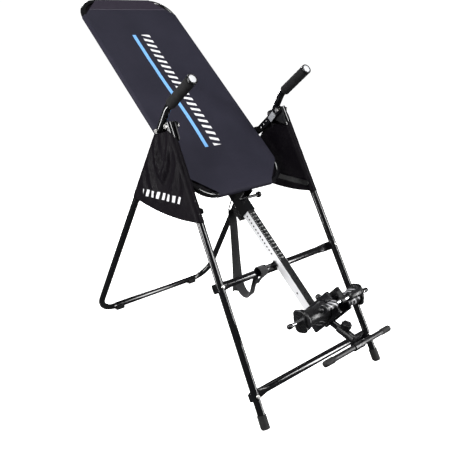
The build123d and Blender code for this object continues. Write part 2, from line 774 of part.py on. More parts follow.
def boom_tube():
    """Square inner tube with the row of height holes through both sides."""
    holes = [(FIRST_HOLE - HOLE_PITCH * index, BOOM_NORMAL) for index in range(HOLE_COUNT)]
    holes.append((LAST_HOLE, BOOM_NORMAL))
    with BuildPart() as tube:
        with BuildSketch(table_section(BOOM_TOP_END)):
            with Locations((0, BOOM_NORMAL)):
                Rectangle(BOOM_HALF * 2, BOOM_HALF * 2)
                Rectangle((BOOM_HALF - BOOM_WALL) * 2, (BOOM_HALF - BOOM_WALL) * 2,
                          mode=Mode.SUBTRACT)
        extrude(amount=BOOM_TOP_END - BOOM_LOW_END)
        with BuildSketch(table_side(0)):
            with Locations(*holes):
                Circle(HOLE_R)
        extrude(amount=BOOM_HALF * 2, both=True, mode=Mode.SUBTRACT)
    return tube


def scale_strip():
    """Thin height scale on the boom's upper face."""
    margin = 3.0
    with BuildPart() as strip:
        with BuildSketch(TABLE.offset(BOOM_NORMAL + BOOM_HALF + 0.02)):
            with Locations((0, (BOOM_TOP_END + CARRIAGE_TOP) / 2)):
                Rectangle(BOOM_HALF * 2 - 2, BOOM_TOP_END - CARRIAGE_TOP - margin * 2)
        extrude(amount=0.5)
    return strip


def ankle_carriage():
    """Block on the boom's low end that holds the rear rod and guides the front clamp's post."""
    rod = (REAR_ROD_ALONG, REAR_ROD_NORMAL)
    body_low = BOOM_NORMAL - BOOM_HALF - CARRIAGE_WALL
    body_high = BOOM_NORMAL + BOOM_HALF + CARRIAGE_WALL
    middle = (CARRIAGE_LOW + CARRIAGE_TOP) / 2
    post_along = (POST_LOW + POST_HIGH) / 2
    housing_length = 32.0
    slot_bottom = POST_BOTTOM - 10
    with BuildPart() as carriage:
        with BuildSketch(table_side(0)):
            with Locations((middle, (body_low + body_high) / 2)):
                Rectangle(CARRIAGE_TOP - CARRIAGE_LOW, body_high - body_low)
            fillet(vertices(), radius=6)
        extrude(amount=CARRIAGE_HALF, both=True)
        with BuildSketch(table_side(0)):
            with Locations(rod):
                Circle(TOWER_R)
            with Locations((rod[0], (rod[1] + body_high) / 2 - 2)):
                Rectangle(TOWER_R * 2, rod[1] - body_high + 4)
        extrude(amount=TOWER_R, both=True)
        with BuildSketch(table_side(0)):
            with Locations((CARRIAGE_TOP - housing_length / 2, (HOUSING_LOW + HOUSING_HIGH) / 2)):
                Rectangle(housing_length, HOUSING_HIGH - HOUSING_LOW)
        extrude(amount=POST_HALF_WIDTH + 6, both=True)
        with BuildSketch(TABLE.offset(slot_bottom)):
            with Locations((0, post_along)):
                Rectangle((POST_HALF_WIDTH + BODY_GAP) * 2, POST_HIGH - POST_LOW + BODY_GAP * 2)
        extrude(amount=INNER_PLATE_HIGH - slot_bottom, mode=Mode.SUBTRACT)
        with BuildSketch(table_section(CARRIAGE_TOP + CARRIAGE_WALL)):
            with Locations((0, BOOM_NORMAL)):
                Rectangle(BOOM_HALF * 2 + 0.2, BOOM_HALF * 2 + 1.2)
        extrude(amount=CARRIAGE_TOP + CARRIAGE_WALL - BOOM_LOW_END + 0.2, mode=Mode.SUBTRACT)
        with BuildSketch(table_side(0)):
            with Locations(rod):
                Circle(ROD_R + RUNNING_GAP)
        extrude(amount=CARRIAGE_HALF * 2, both=True, mode=Mode.SUBTRACT)
        with BuildSketch(table_section(CARRIAGE_TOP + 1)):
            with Locations((0, CLAMP_KNOB_NORMAL)):
                Circle(PIN_R + RUNNING_GAP)
        extrude(amount=CARRIAGE_TOP + 1 - POST_HIGH, mode=Mode.SUBTRACT)
    return carriage


def cross_rod(along, normal, half):
    """Threaded rod across the ankle clamp."""
    with BuildPart() as rod:
        with BuildSketch(table_side(-half)):
            with Locations((along, normal)):
                Circle(ROD_R)
        extrude(amount=half * 2)
        chamfer(rod.edges().filter_by(GeomType.CIRCLE), length=1.2)
    return rod


def roller(side, along, normal, inner_x, outer_x, end_r, waist_r):
    """Waisted cushion that turns with its rod, thinner in the middle where the ankle lies."""
    middle = (inner_x + outer_x) / 2
    plane = Plane(origin=table_point(0, along, normal), x_dir=ACROSS, z_dir=ALONG)
    bore = ROD_R + RUNNING_GAP
    with BuildPart() as cushion:
        with BuildSketch(plane):
            with BuildLine():
                Line((side * inner_x, bore), (side * inner_x, end_r))
                ThreePointArc((side * inner_x, end_r), (side * middle, waist_r),
                              (side * outer_x, end_r))
                Line((side * outer_x, end_r), (side * outer_x, bore))
                Line((side * outer_x, bore), (side * inner_x, bore))
            make_face()
        revolve(axis=Axis(table_point(0, along, normal), ACROSS))
    return cushion


def inner_plate(side):
    """Square side plate of the ankle carriage, next to the rear cushion."""
    height = INNER_PLATE_HIGH - INNER_PLATE_LOW
    with BuildPart() as plate:
        with BuildSketch(table_side(side * (CARRIAGE_HALF + 0.2))):
            with Locations((REAR_ROD_ALONG, INNER_PLATE_LOW + height / 2)):
                RectangleRounded(INNER_PLATE_WIDTH, height, 7)
            with Locations((REAR_ROD_ALONG, REAR_ROD_NORMAL)):
                Circle(ROD_R + RUNNING_GAP, mode=Mode.SUBTRACT)
        extrude(amount=side * INNER_PLATE_THICK)
        outer_face = plate.faces().sort_by(Axis.X)[-1 if side > 0 else 0]
        fillet(outer_face.outer_wire().edges(), radius=2)
    return plate


def outer_plate(side):
    """Rounded end plate outside the rear cushion."""
    with BuildPart() as plate:
        with BuildSketch(table_side(side * (ROLLER_OUTER_X + 1.0))):
            with Locations(Location((REAR_ROD_ALONG, REAR_ROD_NORMAL), OUTER_PLATE_TURN)):
                RectangleRounded(OUTER_PLATE_LONG, OUTER_PLATE_SHORT, 18)
            with Locations((REAR_ROD_ALONG, REAR_ROD_NORMAL)):
                Circle(ROD_R + RUNNING_GAP, mode=Mode.SUBTRACT)
        extrude(amount=side * OUTER_PLATE_THICK)
        outer_face = plate.faces().sort_by(Axis.X)[-1 if side > 0 else 0]
        fillet(outer_face.outer_wire().edges(), radius=3)
    return plate


def clamp_post():
    """Flat post of the front clamp, with the eye that holds the front rod."""
    rod = (FRONT_ROD_ALONG, FRONT_ROD_NORMAL)
    top = rod[1] + 10
    bridge = 8.0
    with BuildPart() as post:
        with BuildSketch(table_side(0)):
            with Locations(((POST_LOW + POST_HIGH) / 2, (POST_BOTTOM + top) / 2)):
                Rectangle(POST_HIGH - POST_LOW, top - POST_BOTTOM)
            with Locations(((rod[0] + POST_HIGH) / 2, top - bridge / 2)):
                Rectangle(POST_HIGH - rod[0], bridge)
            with Locations(rod):
                Circle(ROD_R + 6)
                Circle(ROD_R + RUNNING_GAP, mode=Mode.SUBTRACT)
        extrude(amount=POST_HALF_WIDTH, both=True)
    return post


def clamp_knob():
    """Ball-headed pull knob that locks the front clamp's post."""
    tip = POST_HIGH + BODY_GAP * 2
    collar_start = CARRIAGE_TOP + 2
    collar_end = collar_start + 14
    ball_along = collar_end + 5
    ball_r = 13.0
    with BuildPart() as knob:
        for start, end, radius in ((tip, collar_start, PIN_R), (collar_start, collar_end, ROD_R)):
            with BuildSketch(table_section(end)):
                with Locations((0, CLAMP_KNOB_NORMAL)):
                    Circle(radius)
            extrude(amount=end - start)
        with Locations(table_point(0, ball_along, CLAMP_KNOB_NORMAL)):
            Sphere(ball_r)
    return knob


# ---------------------------------------------------------------- footrest

SHAFT_BASE = table_point(0, SHAFT_START[0], SHAFT_START[1])
SHAFT_DIRECTION = (table_point(0, SHAFT_END[0], SHAFT_END[1]) - SHAFT_BASE).normalized()
SHAFT_UP = SHAFT_DIRECTION.cross(ACROSS)
SHAFT_PLANE = Plane(origin=SHAFT_BASE, x_dir=ACROSS, z_dir=SHAFT_DIRECTION)


def footrest_shaft():
    """Round shaft from the carriage down to the footrest."""
    lead = 12.0
    with BuildPart() as shaft:
        with BuildSketch(SHAFT_PLANE.offset(-lead)):
            Circle(SHAFT_R)
        extrude(amount=SHAFT_LENGTH + lead)
        split(bisect_by=Plane(origin=SHAFT_BASE, z_dir=ALONG), keep=Keep.BOTTOM)
    return shaft


def footrest_carrier():
    """Clamp sleeve on the shaft with the heel plate and the eye that the footrest bar goes through."""
    bar = table_point(0, FOOTREST_ALONG, FOOTREST_NORMAL)
    plate_half = 27.0
    plate_height = 52.0
    plate_thick = 5.0
    plate_rise = 12.0
    knob_plane = Plane(origin=SHAFT_BASE + SHAFT_DIRECTION * KNOB_AT, z_dir=SHAFT_UP)
    with BuildPart() as carrier:
        with BuildSketch(SHAFT_PLANE.offset(CARRIER_START)):
            Circle(CARRIER_R)
        extrude(amount=CARRIER_END - CARRIER_START)
        with BuildSketch(knob_plane):
            Circle(KNOB_BOSS_R)
        extrude(amount=CARRIER_R + KNOB_BOSS)
        with BuildSketch(SHAFT_PLANE.offset(CARRIER_END - plate_thick)):
            with Locations((0, plate_rise)):
                RectangleRounded(plate_half * 2, plate_height, 5)
        extrude(amount=plate_thick)
        with BuildSketch(Plane.YZ):
            with Locations((bar.Y, bar.Z)):
                Circle(FOOTREST_R + 4)
        extrude(amount=plate_half, both=True)
        with BuildSketch(SHAFT_PLANE):
            Circle(SHAFT_R + BODY_GAP)
        extrude(amount=CARRIER_BORE_END, mode=Mode.SUBTRACT)
        with BuildSketch(Plane.YZ):
            with Locations((bar.Y, bar.Z)):
                Circle(FOOTREST_R + RUNNING_GAP)
        extrude(amount=plate_half * 2, both=True, mode=Mode.SUBTRACT)
        with BuildSketch(knob_plane):
            Circle(PIN_R + BODY_GAP)
        extrude(amount=CARRIER_R * 3, mode=Mode.SUBTRACT)
    return carrier


def footrest_bar():
    """Cross tube that the feet stand on."""
    bar = table_point(0, FOOTREST_ALONG, FOOTREST_NORMAL)
    with BuildPart() as tube:
        with BuildSketch(Plane.YZ.offset(-FOOTREST_HALF)):
            with Locations((bar.Y, bar.Z)):
                Circle(FOOTREST_R)
        extrude(amount=FOOTREST_HALF * 2)
        fillet(tube.edges().filter_by(GeomType.CIRCLE), radius=4)
    return tube


def footrest_knob():
    """Round lobed knob that clamps the footrest on its shaft."""
    base = Plane(origin=SHAFT_BASE + SHAFT_DIRECTION * KNOB_AT, z_dir=SHAFT_UP)
    lobes = 6
    knob_r = 20.0
    knob_height = 20.0
    stem_start = SHAFT_R + BODY_GAP
    head_start = CARRIER_R + KNOB_BOSS + BODY_GAP
    with BuildPart() as knob:
        with BuildSketch(base.offset(stem_start)):
            Circle(PIN_R)
        extrude(amount=head_start + knob_height / 2 - stem_start)
        with BuildSketch(base.offset(head_start)):
            Circle(knob_r)
            with PolarLocations(knob_r + 2.5, lobes):
                Circle(5.5, mode=Mode.SUBTRACT)
        extrude(amount=knob_height)
        fillet(knob.edges().group_by(Axis((0, 0, 0), tuple(SHAFT_UP)))[-1], radius=2)
    return knob


# ---------------------------------------------------------------- export

os.makedirs("parts", exist_ok=True)

for name, side in (("left", -1), ("right", 1)):
    save(front_leg(side), f"front_leg_{name}")
    save(front_foot(side), f"front_foot_{name}")
    save(pivot_plate(side), f"pivot_plate_{name}")
    save(side_cover(side), f"side_cover_{name}")
    save(brace(side, leg_point(side, BRACE_Z), FRONT_BRACE_X, FRONT_STUD), f"front_brace_{name}")
    save(brace(side, rear_point(side, BRACE_Z), REAR_BRACE_X, REAR_STUD), f"rear_brace_{name}")
    save(rear_leg(side), f"rear_leg_{name}")
    save(rail_pad(side), f"rail_pad_{name}")
    save(grip(side), f"grip_{name}")
    save(grip_cap(side), f"grip_cap_{name}")
    save(pivot_arm(side), f"pivot_arm_{name}")
    save(inner_plate(side), f"inner_plate_{name}")
    save(outer_plate(side), f"outer_plate_{name}")
    save(roller(side, REAR_ROD_ALONG, REAR_ROD_NORMAL, ROLLER_INNER_X, ROLLER_OUTER_X,
                ROLLER_END_R, ROLLER_WAIST_R), f"rear_roller_{name}")
    save(roller(side, FRONT_ROD_ALONG, FRONT_ROD_NORMAL, FRONT_ROLLER_INNER_X,
                FRONT_ROLLER_OUTER_X, FRONT_ROLLER_END_R, FRONT_ROLLER_WAIST_R),
         f"front_roller_{name}")

save(crossbar(UPPER_BAR, UPPER_BAR_OFFSET), "upper_crossbar")
save(crossbar(LOWER_BAR, LOWER_BAR_OFFSET), "lower_crossbar")
save(crossbar_bolts(), "crossbar_bolts")
save(pivot_bolts(), "pivot_bolts")
save(fold_bolts(), "fold_bolts")
save(boom_saddle(), "boom_saddle")
save(rear_rail(), "rear_rail")
save(bed_loop(BED_HEAD, BED_CORNER_R), "bed_loop_head")
save(bed_loop(BED_FOOT, BED_CORNER_R), "bed_loop_foot")
save(bed_cross_tube(), "bed_cross_tube")
save(bed_panel(), "bed_panel")
save(boom_sleeve(), "boom_sleeve")
save(sleeve_bracket(CROSS_TUBE_ALONG), "sleeve_bracket_head")
save(sleeve_bracket(BED_FOOT), "sleeve_bracket_foot")
save(guide_housing(), "guide_housing")
save(pin_boss(), "pin_boss")
save(height_pin(), "height_pin")
save(strap_ring(), "strap_ring")
save(tether_strap(), "tether_strap")
save(boom_tube(), "boom_tube")
save(scale_strip(), "scale_strip")
save(ankle_carriage(), "ankle_carriage")
save(cross_rod(REAR_ROD_ALONG, REAR_ROD_NORMAL, REAR_ROD_HALF), "rear_rod")
save(cross_rod(FRONT_ROD_ALONG, FRONT_ROD_NORMAL, FRONT_ROD_HALF), "front_rod")
save(clamp_post(), "clamp_post")
save(clamp_knob(), "clamp_knob")
save(footrest_shaft(), "footrest_shaft")
save(footrest_carrier(), "footrest_carrier")
save(footrest_bar(), "footrest_bar")
save(footrest_knob(), "footrest_knob")
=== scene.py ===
"""Looks of the inversion table: fabric, cushions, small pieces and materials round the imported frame."""
import json
import math

import bmesh
import bpy
import numpy as np
from mathutils import Matrix, Vector


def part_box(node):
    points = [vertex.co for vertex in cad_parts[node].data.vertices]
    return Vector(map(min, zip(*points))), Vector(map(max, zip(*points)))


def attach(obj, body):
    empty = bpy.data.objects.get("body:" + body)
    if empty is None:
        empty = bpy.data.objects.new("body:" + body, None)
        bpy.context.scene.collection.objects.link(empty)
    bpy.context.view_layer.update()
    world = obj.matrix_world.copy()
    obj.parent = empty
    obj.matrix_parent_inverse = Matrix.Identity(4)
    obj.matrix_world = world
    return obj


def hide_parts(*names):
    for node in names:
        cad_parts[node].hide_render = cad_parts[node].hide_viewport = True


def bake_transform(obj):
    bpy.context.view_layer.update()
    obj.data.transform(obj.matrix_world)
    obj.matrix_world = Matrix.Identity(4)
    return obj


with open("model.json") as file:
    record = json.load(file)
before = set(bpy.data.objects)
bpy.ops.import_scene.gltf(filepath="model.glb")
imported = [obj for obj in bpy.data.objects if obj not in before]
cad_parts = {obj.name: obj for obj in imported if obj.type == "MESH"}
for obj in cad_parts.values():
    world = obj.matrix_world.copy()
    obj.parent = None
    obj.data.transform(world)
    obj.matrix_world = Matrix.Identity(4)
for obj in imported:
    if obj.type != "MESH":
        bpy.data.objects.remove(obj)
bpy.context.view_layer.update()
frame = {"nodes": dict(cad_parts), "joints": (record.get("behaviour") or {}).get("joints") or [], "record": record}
nodes = frame["nodes"]
joints = {joint["name"]: joint for joint in frame["joints"]}
SIDES = (("left", -1), ("right", 1))

# ---- the table's own tilted frame: x across, along the bed, and normal to it ----
ACROSS = Vector((1, 0, 0))
ALONG = Vector(joints["boom_slide"]["axis"]).normalized()
NORMAL = ACROSS.cross(ALONG)
TILT = math.atan2(ALONG.z, ALONG.y)
TILTED_BASIS = Matrix((ACROSS, ALONG, NORMAL)).transposed().to_4x4()

# ---- sizes of the soft pieces, in metres ----
FABRIC_GAP = 0.0012        # middle of the bed's cloth above its tubes
FABRIC_THICK = 0.0014
FABRIC_SAG = 0.0065        # at the middle of each half of the bed
FABRIC_TURN = 205          # degrees that the cloth is turned round its tubes
BED_CUT = 0.096            # the bed's corners are cut straight across
HEM_FROM_HEAD = 0.062
ARM_LABEL_X = 0.2810       # inner face of the raised block on each pivot arm
SCALE_START = 0.294        # first mark, from the strip's upper end
COVER_THICK = 0.0012
BOOM_SKIN = 0.0006         # depth of the bright paint on the boom
STRAP_WIDTH = 0.038
STRAP_THICK = 0.0016
NO_STEP = 1e-6             # shares and lengths closer than this are the same


# ---------------------------------------------------------------- mesh helpers

def tilted_box(node):
    """Lowest and highest x, along and normal of a CAD node at rest."""
    points = np.array([v.co for v in nodes[node].data.vertices], float)
    basis = np.array([ACROSS, ALONG, NORMAL], float).T
    seen = points @ basis
    return Vector(seen.min(0)), Vector(seen.max(0))


def tilted(x, along, normal):
    return ACROSS * x + ALONG * along + NORMAL * normal


def finish_mesh(name, mesh, body, material, smooth=True):
    mesh.materials.append(material)
    for face in mesh.polygons:
        face.use_smooth = smooth
    piece = bpy.data.objects.new(name, mesh)
    bpy.context.scene.collection.objects.link(piece)
    if body:
        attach(piece, body)
    return piece


def mesh_from(name, points, faces):
    mesh = bpy.data.meshes.new(name)
    mesh.from_pydata([tuple(p) for p in points], [], faces)
    work = bmesh.new()
    work.from_mesh(mesh)
    bmesh.ops.remove_doubles(work, verts=work.verts, dist=1e-5)
    bmesh.ops.recalc_face_normals(work, faces=work.faces)
    work.to_mesh(mesh)
    work.free()
    return mesh


def grid_faces(rows, columns, first=0, around=False):
    """Quads of a grid whose points are stored row by row."""
    faces = []
    for i in range(rows - 1):
        for j in range(columns - (0 if around else 1)):
            k = (j + 1) % columns
            faces.append((first + i * columns + j, first + i * columns + k,
                          first + (i + 1) * columns + k, first + (i + 1) * columns + j))
    return faces


def lathe(name, start, direction, profile, body, material, segments=48, wobble=None):
    """A surface turned round a line, from (distance, radius) pairs, closed at radius 0."""
    direction = Vector(direction).normalized()
    side = direction.orthogonal().normalized()
    up = direction.cross(side)
    points = []
    for distance, radius in profile:
        for k in range(segments):
            angle = 2 * math.pi * k / segments
            grown = radius * (1 + (wobble(distance, angle) if wobble else 0))
            points.append(Vector(start) + direction * distance
                          + (side * math.cos(angle) + up * math.sin(angle)) * grown)
    faces = grid_faces(len(profile), segments, around=True)
    return finish_mesh(name, mesh_from(name, points, faces), body, material)


def solid(piece, thickness, levels=0):
    """Gives a cloth sheet its thickness, with an optional subdivision."""
    if levels:
        smooth = piece.modifiers.new("smooth", "SUBSURF")
        smooth.levels = smooth.render_levels = levels
    thick = piece.modifiers.new("thickness", "SOLIDIFY")
    thick.thickness = thickness
    thick.offset = 0
    bake(piece)


def bake(piece):
    """Applies every modifier on a piece."""
    graph = bpy.context.evaluated_depsgraph_get()
    mesh = bpy.data.meshes.new_from_object(piece.evaluated_get(graph))
    piece.modifiers.clear()
    piece.data = mesh


def axis_of(node):
    """Middle, direction, half length and radius of a round CAD node."""
    points = np.array([v.co for v in nodes[node].data.vertices], float)
    low, high = points.min(0), points.max(0)
    centre = points.mean(0)
    direction = np.linalg.svd(points - centre, full_matrices=False)[2][0]
    along = (points - centre) @ direction
    middle = centre + direction * (along.max() + along.min()) / 2
    radial = points - middle - np.outer((points - middle) @ direction, direction)
    radius = np.linalg.norm(radial, axis=1).max()
    return Vector(middle), Vector(direction), (along.max() - along.min()) / 2, radius


def bevel_box(name, centre, size, body, material, bevel):
    """A small block square to the tilted frame, with rounded edges."""
    work = bmesh.new()
    bmesh.ops.create_cube(work, size=1.0, matrix=Matrix.Diagonal((*size, 1)))
    bmesh.ops.bevel(work, geom=work.edges[:] + work.verts[:], offset=bevel, segments=3, affect="EDGES",
                    profile=0.5)
    bmesh.ops.transform(work, matrix=Matrix.Translation(centre) @ TILTED_BASIS, verts=work.verts)
    mesh = bpy.data.meshes.new(name)
    work.to_mesh(mesh)
    work.free()
    return finish_mesh(name, mesh, body, material)


NEAR_HOLE = 0.0070         # a bolt hole's rim is within this of its axis
LEG_END = 0.02             # the part of a leg that gives its lower end


def hole_centre(node, bolts):
    """Where a bolt parallel to X crosses the middle of a tube."""
    low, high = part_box(bolts)
    y, z = (low.y + high.y) / 2, (low.z + high.z) / 2
    rim = [v.co for v in nodes[node].data.vertices if math.hypot(v.co.y - y, v.co.z - z) < NEAR_HOLE]
    return sum(rim, Vector()) / len(rim)


def leg_line(node, bolts):
    """A leg's axis as a function of height, from its lower end and its bolt."""
    points = [v.co for v in nodes[node].data.vertices]
    lowest = min(p.z for p in points)
    ring = [p for p in points if p.z < lowest + LEG_END]
    low, high = sum(ring, Vector()) / len(ring), hole_centre(node, bolts)
    return lambda z: low.lerp(high, (z - low.z) / (high.z - low.z))


def settle(piece, pinned, frames, cap):
    """Hangs a cloth sheet by its pinned points for a few frames, moving no point further than cap."""
    before = [v.co.copy() for v in piece.data.vertices]
    piece.vertex_groups.new(name="pinned").add(pinned, 1.0, "REPLACE")
    cloth = piece.modifiers.new("cloth", "CLOTH")
    cloth.settings.quality = 7
    cloth.settings.mass = 0.12
    cloth.settings.tension_stiffness = cloth.settings.compression_stiffness = 14
    cloth.settings.shear_stiffness = 6
    cloth.settings.bending_stiffness = 0.25
    cloth.settings.air_damping = 2.5
    cloth.settings.vertex_group_mass = "pinned"
    cloth.collision_settings.use_collision = False
    cloth.collision_settings.use_self_collision = False
    cloth.point_cache.frame_start, cloth.point_cache.frame_end = 1, frames
    for step in range(1, frames + 1):
        bpy.context.scene.frame_set(step)
    bake(piece)
    bpy.context.scene.frame_set(1)
    piece.vertex_groups.clear()
    for vertex, place in zip(piece.data.vertices, before):
        moved = vertex.co - place
        if moved.length > cap:
            vertex.co = place + moved * (cap / moved.length)


# ---------------------------------------------------------------- materials

class Nodes:
    """A material's node tree, with short ways to add and join nodes."""

    def __init__(self, name):
        self.material = bpy.data.materials.new(name)
        self.material.use_nodes = True
        self.tree = self.material.node_tree
        self.shader = self.tree.nodes["Principled BSDF"]
        coordinates = self.tree.nodes.new("ShaderNodeTexCoord")
        self.place = coordinates.outputs["Object"]
        self.outward = coordinates.outputs["Normal"]

    def add(self, kind, inputs=(), **settings):
        node = self.tree.nodes.new("ShaderNode" + kind)
        for key, value in settings.items():
            setattr(node, key, value)
        for key, value in dict(inputs).items():
            self.put(node.inputs[key], value)
        return node

    def put(self, socket, value):
        if isinstance(value, bpy.types.NodeSocket):
            self.tree.links.new(value, socket)
        else:
            socket.default_value = value

    def set(self, **values):
        for key, value in values.items():
            self.put(self.shader.inputs[key.replace("_", " ")], value)

    def turned(self, angles=(0, 0, 0), scale=(1, 1, 1)):
        """The piece's own coordinates, turned and scaled."""
        inputs = {"Vector": self.place, "Rotation": angles, "Scale": scale}
        return self.add("Mapping", inputs).outputs["Vector"]

    def in_tilted_frame(self):
        """The piece's coordinates across, along and normal to the bed."""
        parts = self.add("SeparateXYZ", {"Vector": self.turned(angles=(-TILT, 0, 0))})
        return parts.outputs["X"], parts.outputs["Y"], parts.outputs["Z"]

    def noise(self, scale, detail=3, rough=0.5, place=None):
        return self.add("TexNoise", {"Vector": place or self.place, "Scale": scale, "Detail": detail,
                                     "Roughness": rough}).outputs["Fac"]

    def math(self, operation, a, b=0.0):
        return self.add("Math", {0: a, 1: b}, operation=operation).outputs[0]

    def times(self, a, b):
        return self.math("MULTIPLY", a, b)

    def span(self, value, low, high, to_low=0.0, to_high=1.0):
        return self.add("MapRange", {"Value": value, "From Min": low, "From Max": high,
                                     "To Min": to_low, "To Max": to_high}).outputs["Result"]

    def mix(self, share, a, b):
        node = self.add("Mix", data_type="RGBA")
        self.put(node.inputs["Factor"], share)
        for socket, value in ((node.inputs[6], a), (node.inputs[7], b)):
            self.put(socket, value if isinstance(value, bpy.types.NodeSocket) else (*value, 1))
        return node.outputs[2]

    def bump(self, height, distance, strength=1.0, under=None):
        inputs = {"Height": height, "Distance": distance, "Strength": strength}
        if under:
            inputs["Normal"] = under
        return self.add("Bump", inputs).outputs["Normal"]


ORANGE_PEEL = 0.00006


def paint(name, dark, light, rough, coat=0.0, dust=0.35):
    """Sprayed or powder-coated metal: orange peel, faint dust, and roughness that varies."""
    m = Nodes(name)
    cloud = m.noise(7, 4)
    dusty = m.span(m.noise(38, 6, 0.7), 0.52, 0.75, 0, dust)
    dust_colour = [min(1, c * 1.6 + 0.012) for c in light]
    m.set(Base_Color=m.mix(dusty, m.mix(cloud, dark, light), dust_colour))
    m.set(Roughness=m.span(m.noise(22, 5, 0.6), 0.3, 0.7, rough[0], rough[1]))
    m.set(Coat_Weight=coat, Coat_Roughness=0.08)
    waves = m.bump(m.noise(60, 2), ORANGE_PEEL * 2)
    m.set(Normal=m.bump(m.noise(420, 2), ORANGE_PEEL, under=waves))
    return m.material


def boom_paint(middle, half):
    """Bright silver outside, unlit black inside the tube and down its pin holes."""
    m = Nodes("silver_boom")
    across, _, normal = m.in_tilted_frame()
    from_side = m.math("ABSOLUTE", m.math("SUBTRACT", across, middle.x))
    from_top = m.math("ABSOLUTE", m.math("SUBTRACT", normal, middle.z))
    inside = m.times(m.math("LESS_THAN", from_side, half.x - BOOM_SKIN),
                     m.math("LESS_THAN", from_top, half.z - BOOM_SKIN))
    dusty = m.span(m.noise(38, 6, 0.7), 0.52, 0.75, 0, 0.06)
    outside = m.mix(dusty, m.mix(m.noise(7, 4), (0.80, 0.80, 0.82), (0.90, 0.90, 0.91)), (0.95, 0.95, 0.95))
    m.set(Base_Color=m.mix(inside, outside, (0.006, 0.006, 0.006)))
    m.set(Roughness=m.span(m.noise(22, 5, 0.6), 0.3, 0.7, 0.26, 0.38))
    m.set(Normal=m.bump(m.noise(420, 2), ORANGE_PEEL))
    return m.material


def plated(name, tint, rough):
    """Zinc or chrome plate with fine scratches and slight tarnish."""
    m = Nodes(name)
    stain = m.span(m.noise(55, 5, 0.65), 0.45, 0.75)
    m.set(Base_Color=m.mix(stain, tint, [c * 0.72 for c in tint]), Metallic=1.0)
    lines = m.noise(260, 3, place=m.turned(scale=(1, 0.06, 1)))
    m.set(Roughness=m.span(lines, 0.3, 0.7, rough[0], rough[1]), Normal=m.bump(lines, 0.00004))
    return m.material


def moulded(name, dark, light, rough, grain=900, depth=0.00008):
    """Moulded plastic or rubber with a fine grain."""
    m = Nodes(name)
    m.set(Base_Color=m.mix(m.noise(30, 4), dark, light))
    m.set(Roughness=m.span(m.noise(75, 4), 0.3, 0.7, rough[0], rough[1]))
    m.set(Normal=m.bump(m.noise(grain, 3, 0.7), depth))
    return m.material


def foam(name):
    """Closed-cell foam: small cells and a slightly uneven surface."""
    m = Nodes(name)
    cells = m.add("TexVoronoi", {"Vector": m.place, "Scale": 620.0}).outputs["Distance"]
    cloud = m.span(m.noise(45, 5), 0.3, 0.7)
    m.set(Base_Color=m.mix(cloud, (0.006, 0.006, 0.0065), (0.015, 0.0145, 0.0155)))
    m.set(Roughness=m.span(m.noise(90, 3), 0.3, 0.7, 0.72, 0.92), Specular_IOR_Level=0.25)
    m.set(Normal=m.bump(cells, 0.0002, under=m.bump(m.noise(35, 3), 0.0006)))
    return m.material


def weave(m, place, pitch, depth):
    """Bump of a plain weave, with its threads along the first two axes of place."""
    over = m.add("TexWave", {"Vector": place, "Scale": 0.5 / pitch}, bands_direction="X").outputs["Fac"]
    under = m.add("TexWave", {"Vector": place, "Scale": 0.5 / pitch}, bands_direction="Y").outputs["Fac"]
    threads = m.math("MAXIMUM", over, m.times(under, 0.9))
    return m.bump(threads, depth), threads


def bed_nylon():
    """Charcoal coated nylon with a darker hem at the head and a plain striped print."""
    m = Nodes("bed_nylon")
    across, along, _ = m.in_tilted_frame()
    normal, threads = weave(m, m.turned(angles=(-TILT, 0, 0)), 0.0011, 0.00012)
    cloud = m.noise(5, 5, 0.6)
    cloth = m.mix(m.span(cloud, 0.3, 0.7), (0.0135, 0.0130, 0.0225), (0.0215, 0.0205, 0.0330))
    cloth = m.mix(m.times(threads, 0.25), cloth, (0.036, 0.035, 0.050))
    low, high = tilted_box("bed_panel")
    hem_edge, hem_soft = high.y - HEM_FROM_HEAD, 0.0008
    hem = m.span(along, hem_edge - hem_soft, hem_edge + hem_soft)
    cloth = m.mix(m.times(hem, 0.75), cloth, (0.030, 0.024, 0.036))
    stitch_pitch, thread_half = 0.0042, 0.0005
    dashes = m.math("FRACT", m.math("DIVIDE", across, stitch_pitch))
    seam = hem_edge + 0.004
    stitch = m.times(band(m, along, seam - thread_half, seam + thread_half, 0.0002),
                     band(m, dashes, 0.15, 0.75, 0.05))
    cloth = m.mix(stitch, cloth, (0.16, 0.16, 0.19))
    facing = m.add("VectorMath", {0: m.outward, 1: NORMAL}, operation="DOT_PRODUCT").outputs["Value"]
    top_side = m.math("GREATER_THAN", facing, 0.0)
    white, blue = bar_print(m, across, along, low, high)
    cloth = m.mix(m.times(white, top_side), cloth, (0.88, 0.88, 0.90))
    cloth = m.mix(m.times(blue, top_side), cloth, (0.20, 0.46, 0.86))
    m.set(Base_Color=cloth, Roughness=m.span(cloud, 0.3, 0.7, 0.56, 0.70), Specular_IOR_Level=0.12)
    m.set(Normal=m.bump(m.noise(26, 4), 0.0010, 0.5, under=normal))
    return m.material


def band(m, value, low, high, edge=0.0007):
    """1 where value lies between low and high."""
    rise = m.span(value, low - edge, low + edge)
    fall = m.span(value, high - edge, high + edge, 1, 0)
    return m.times(rise, fall)


BAR_PITCH = 0.034


def bar_print(m, across, along, low, high):
    """A plain row of slanted white bars and one straight blue line beside it."""
    bar_half, line_from, line_to = 0.022, -0.072, -0.054
    slant = m.math("ADD", along, m.times(across, 0.35))
    phase = m.math("FRACT", m.math("DIVIDE", slant, BAR_PITCH))
    length = high.y - low.y
    printed = band(m, along, low.y + length * 0.20, low.y + length * 0.80)
    white = m.times(band(m, phase, 0.2, 0.62, 0.02), band(m, across, -bar_half, bar_half))
    blue = band(m, across, line_from, line_to)
    return m.times(white, printed), m.times(blue, printed)


COVER_PRINT_FROM = 0.742
COVER_BAR_HEIGHT = 0.029
COVER_BAR_ENDS = (-0.135, 0.125)
COVER_BAR_X = 0.335        # only the outer layer is printed


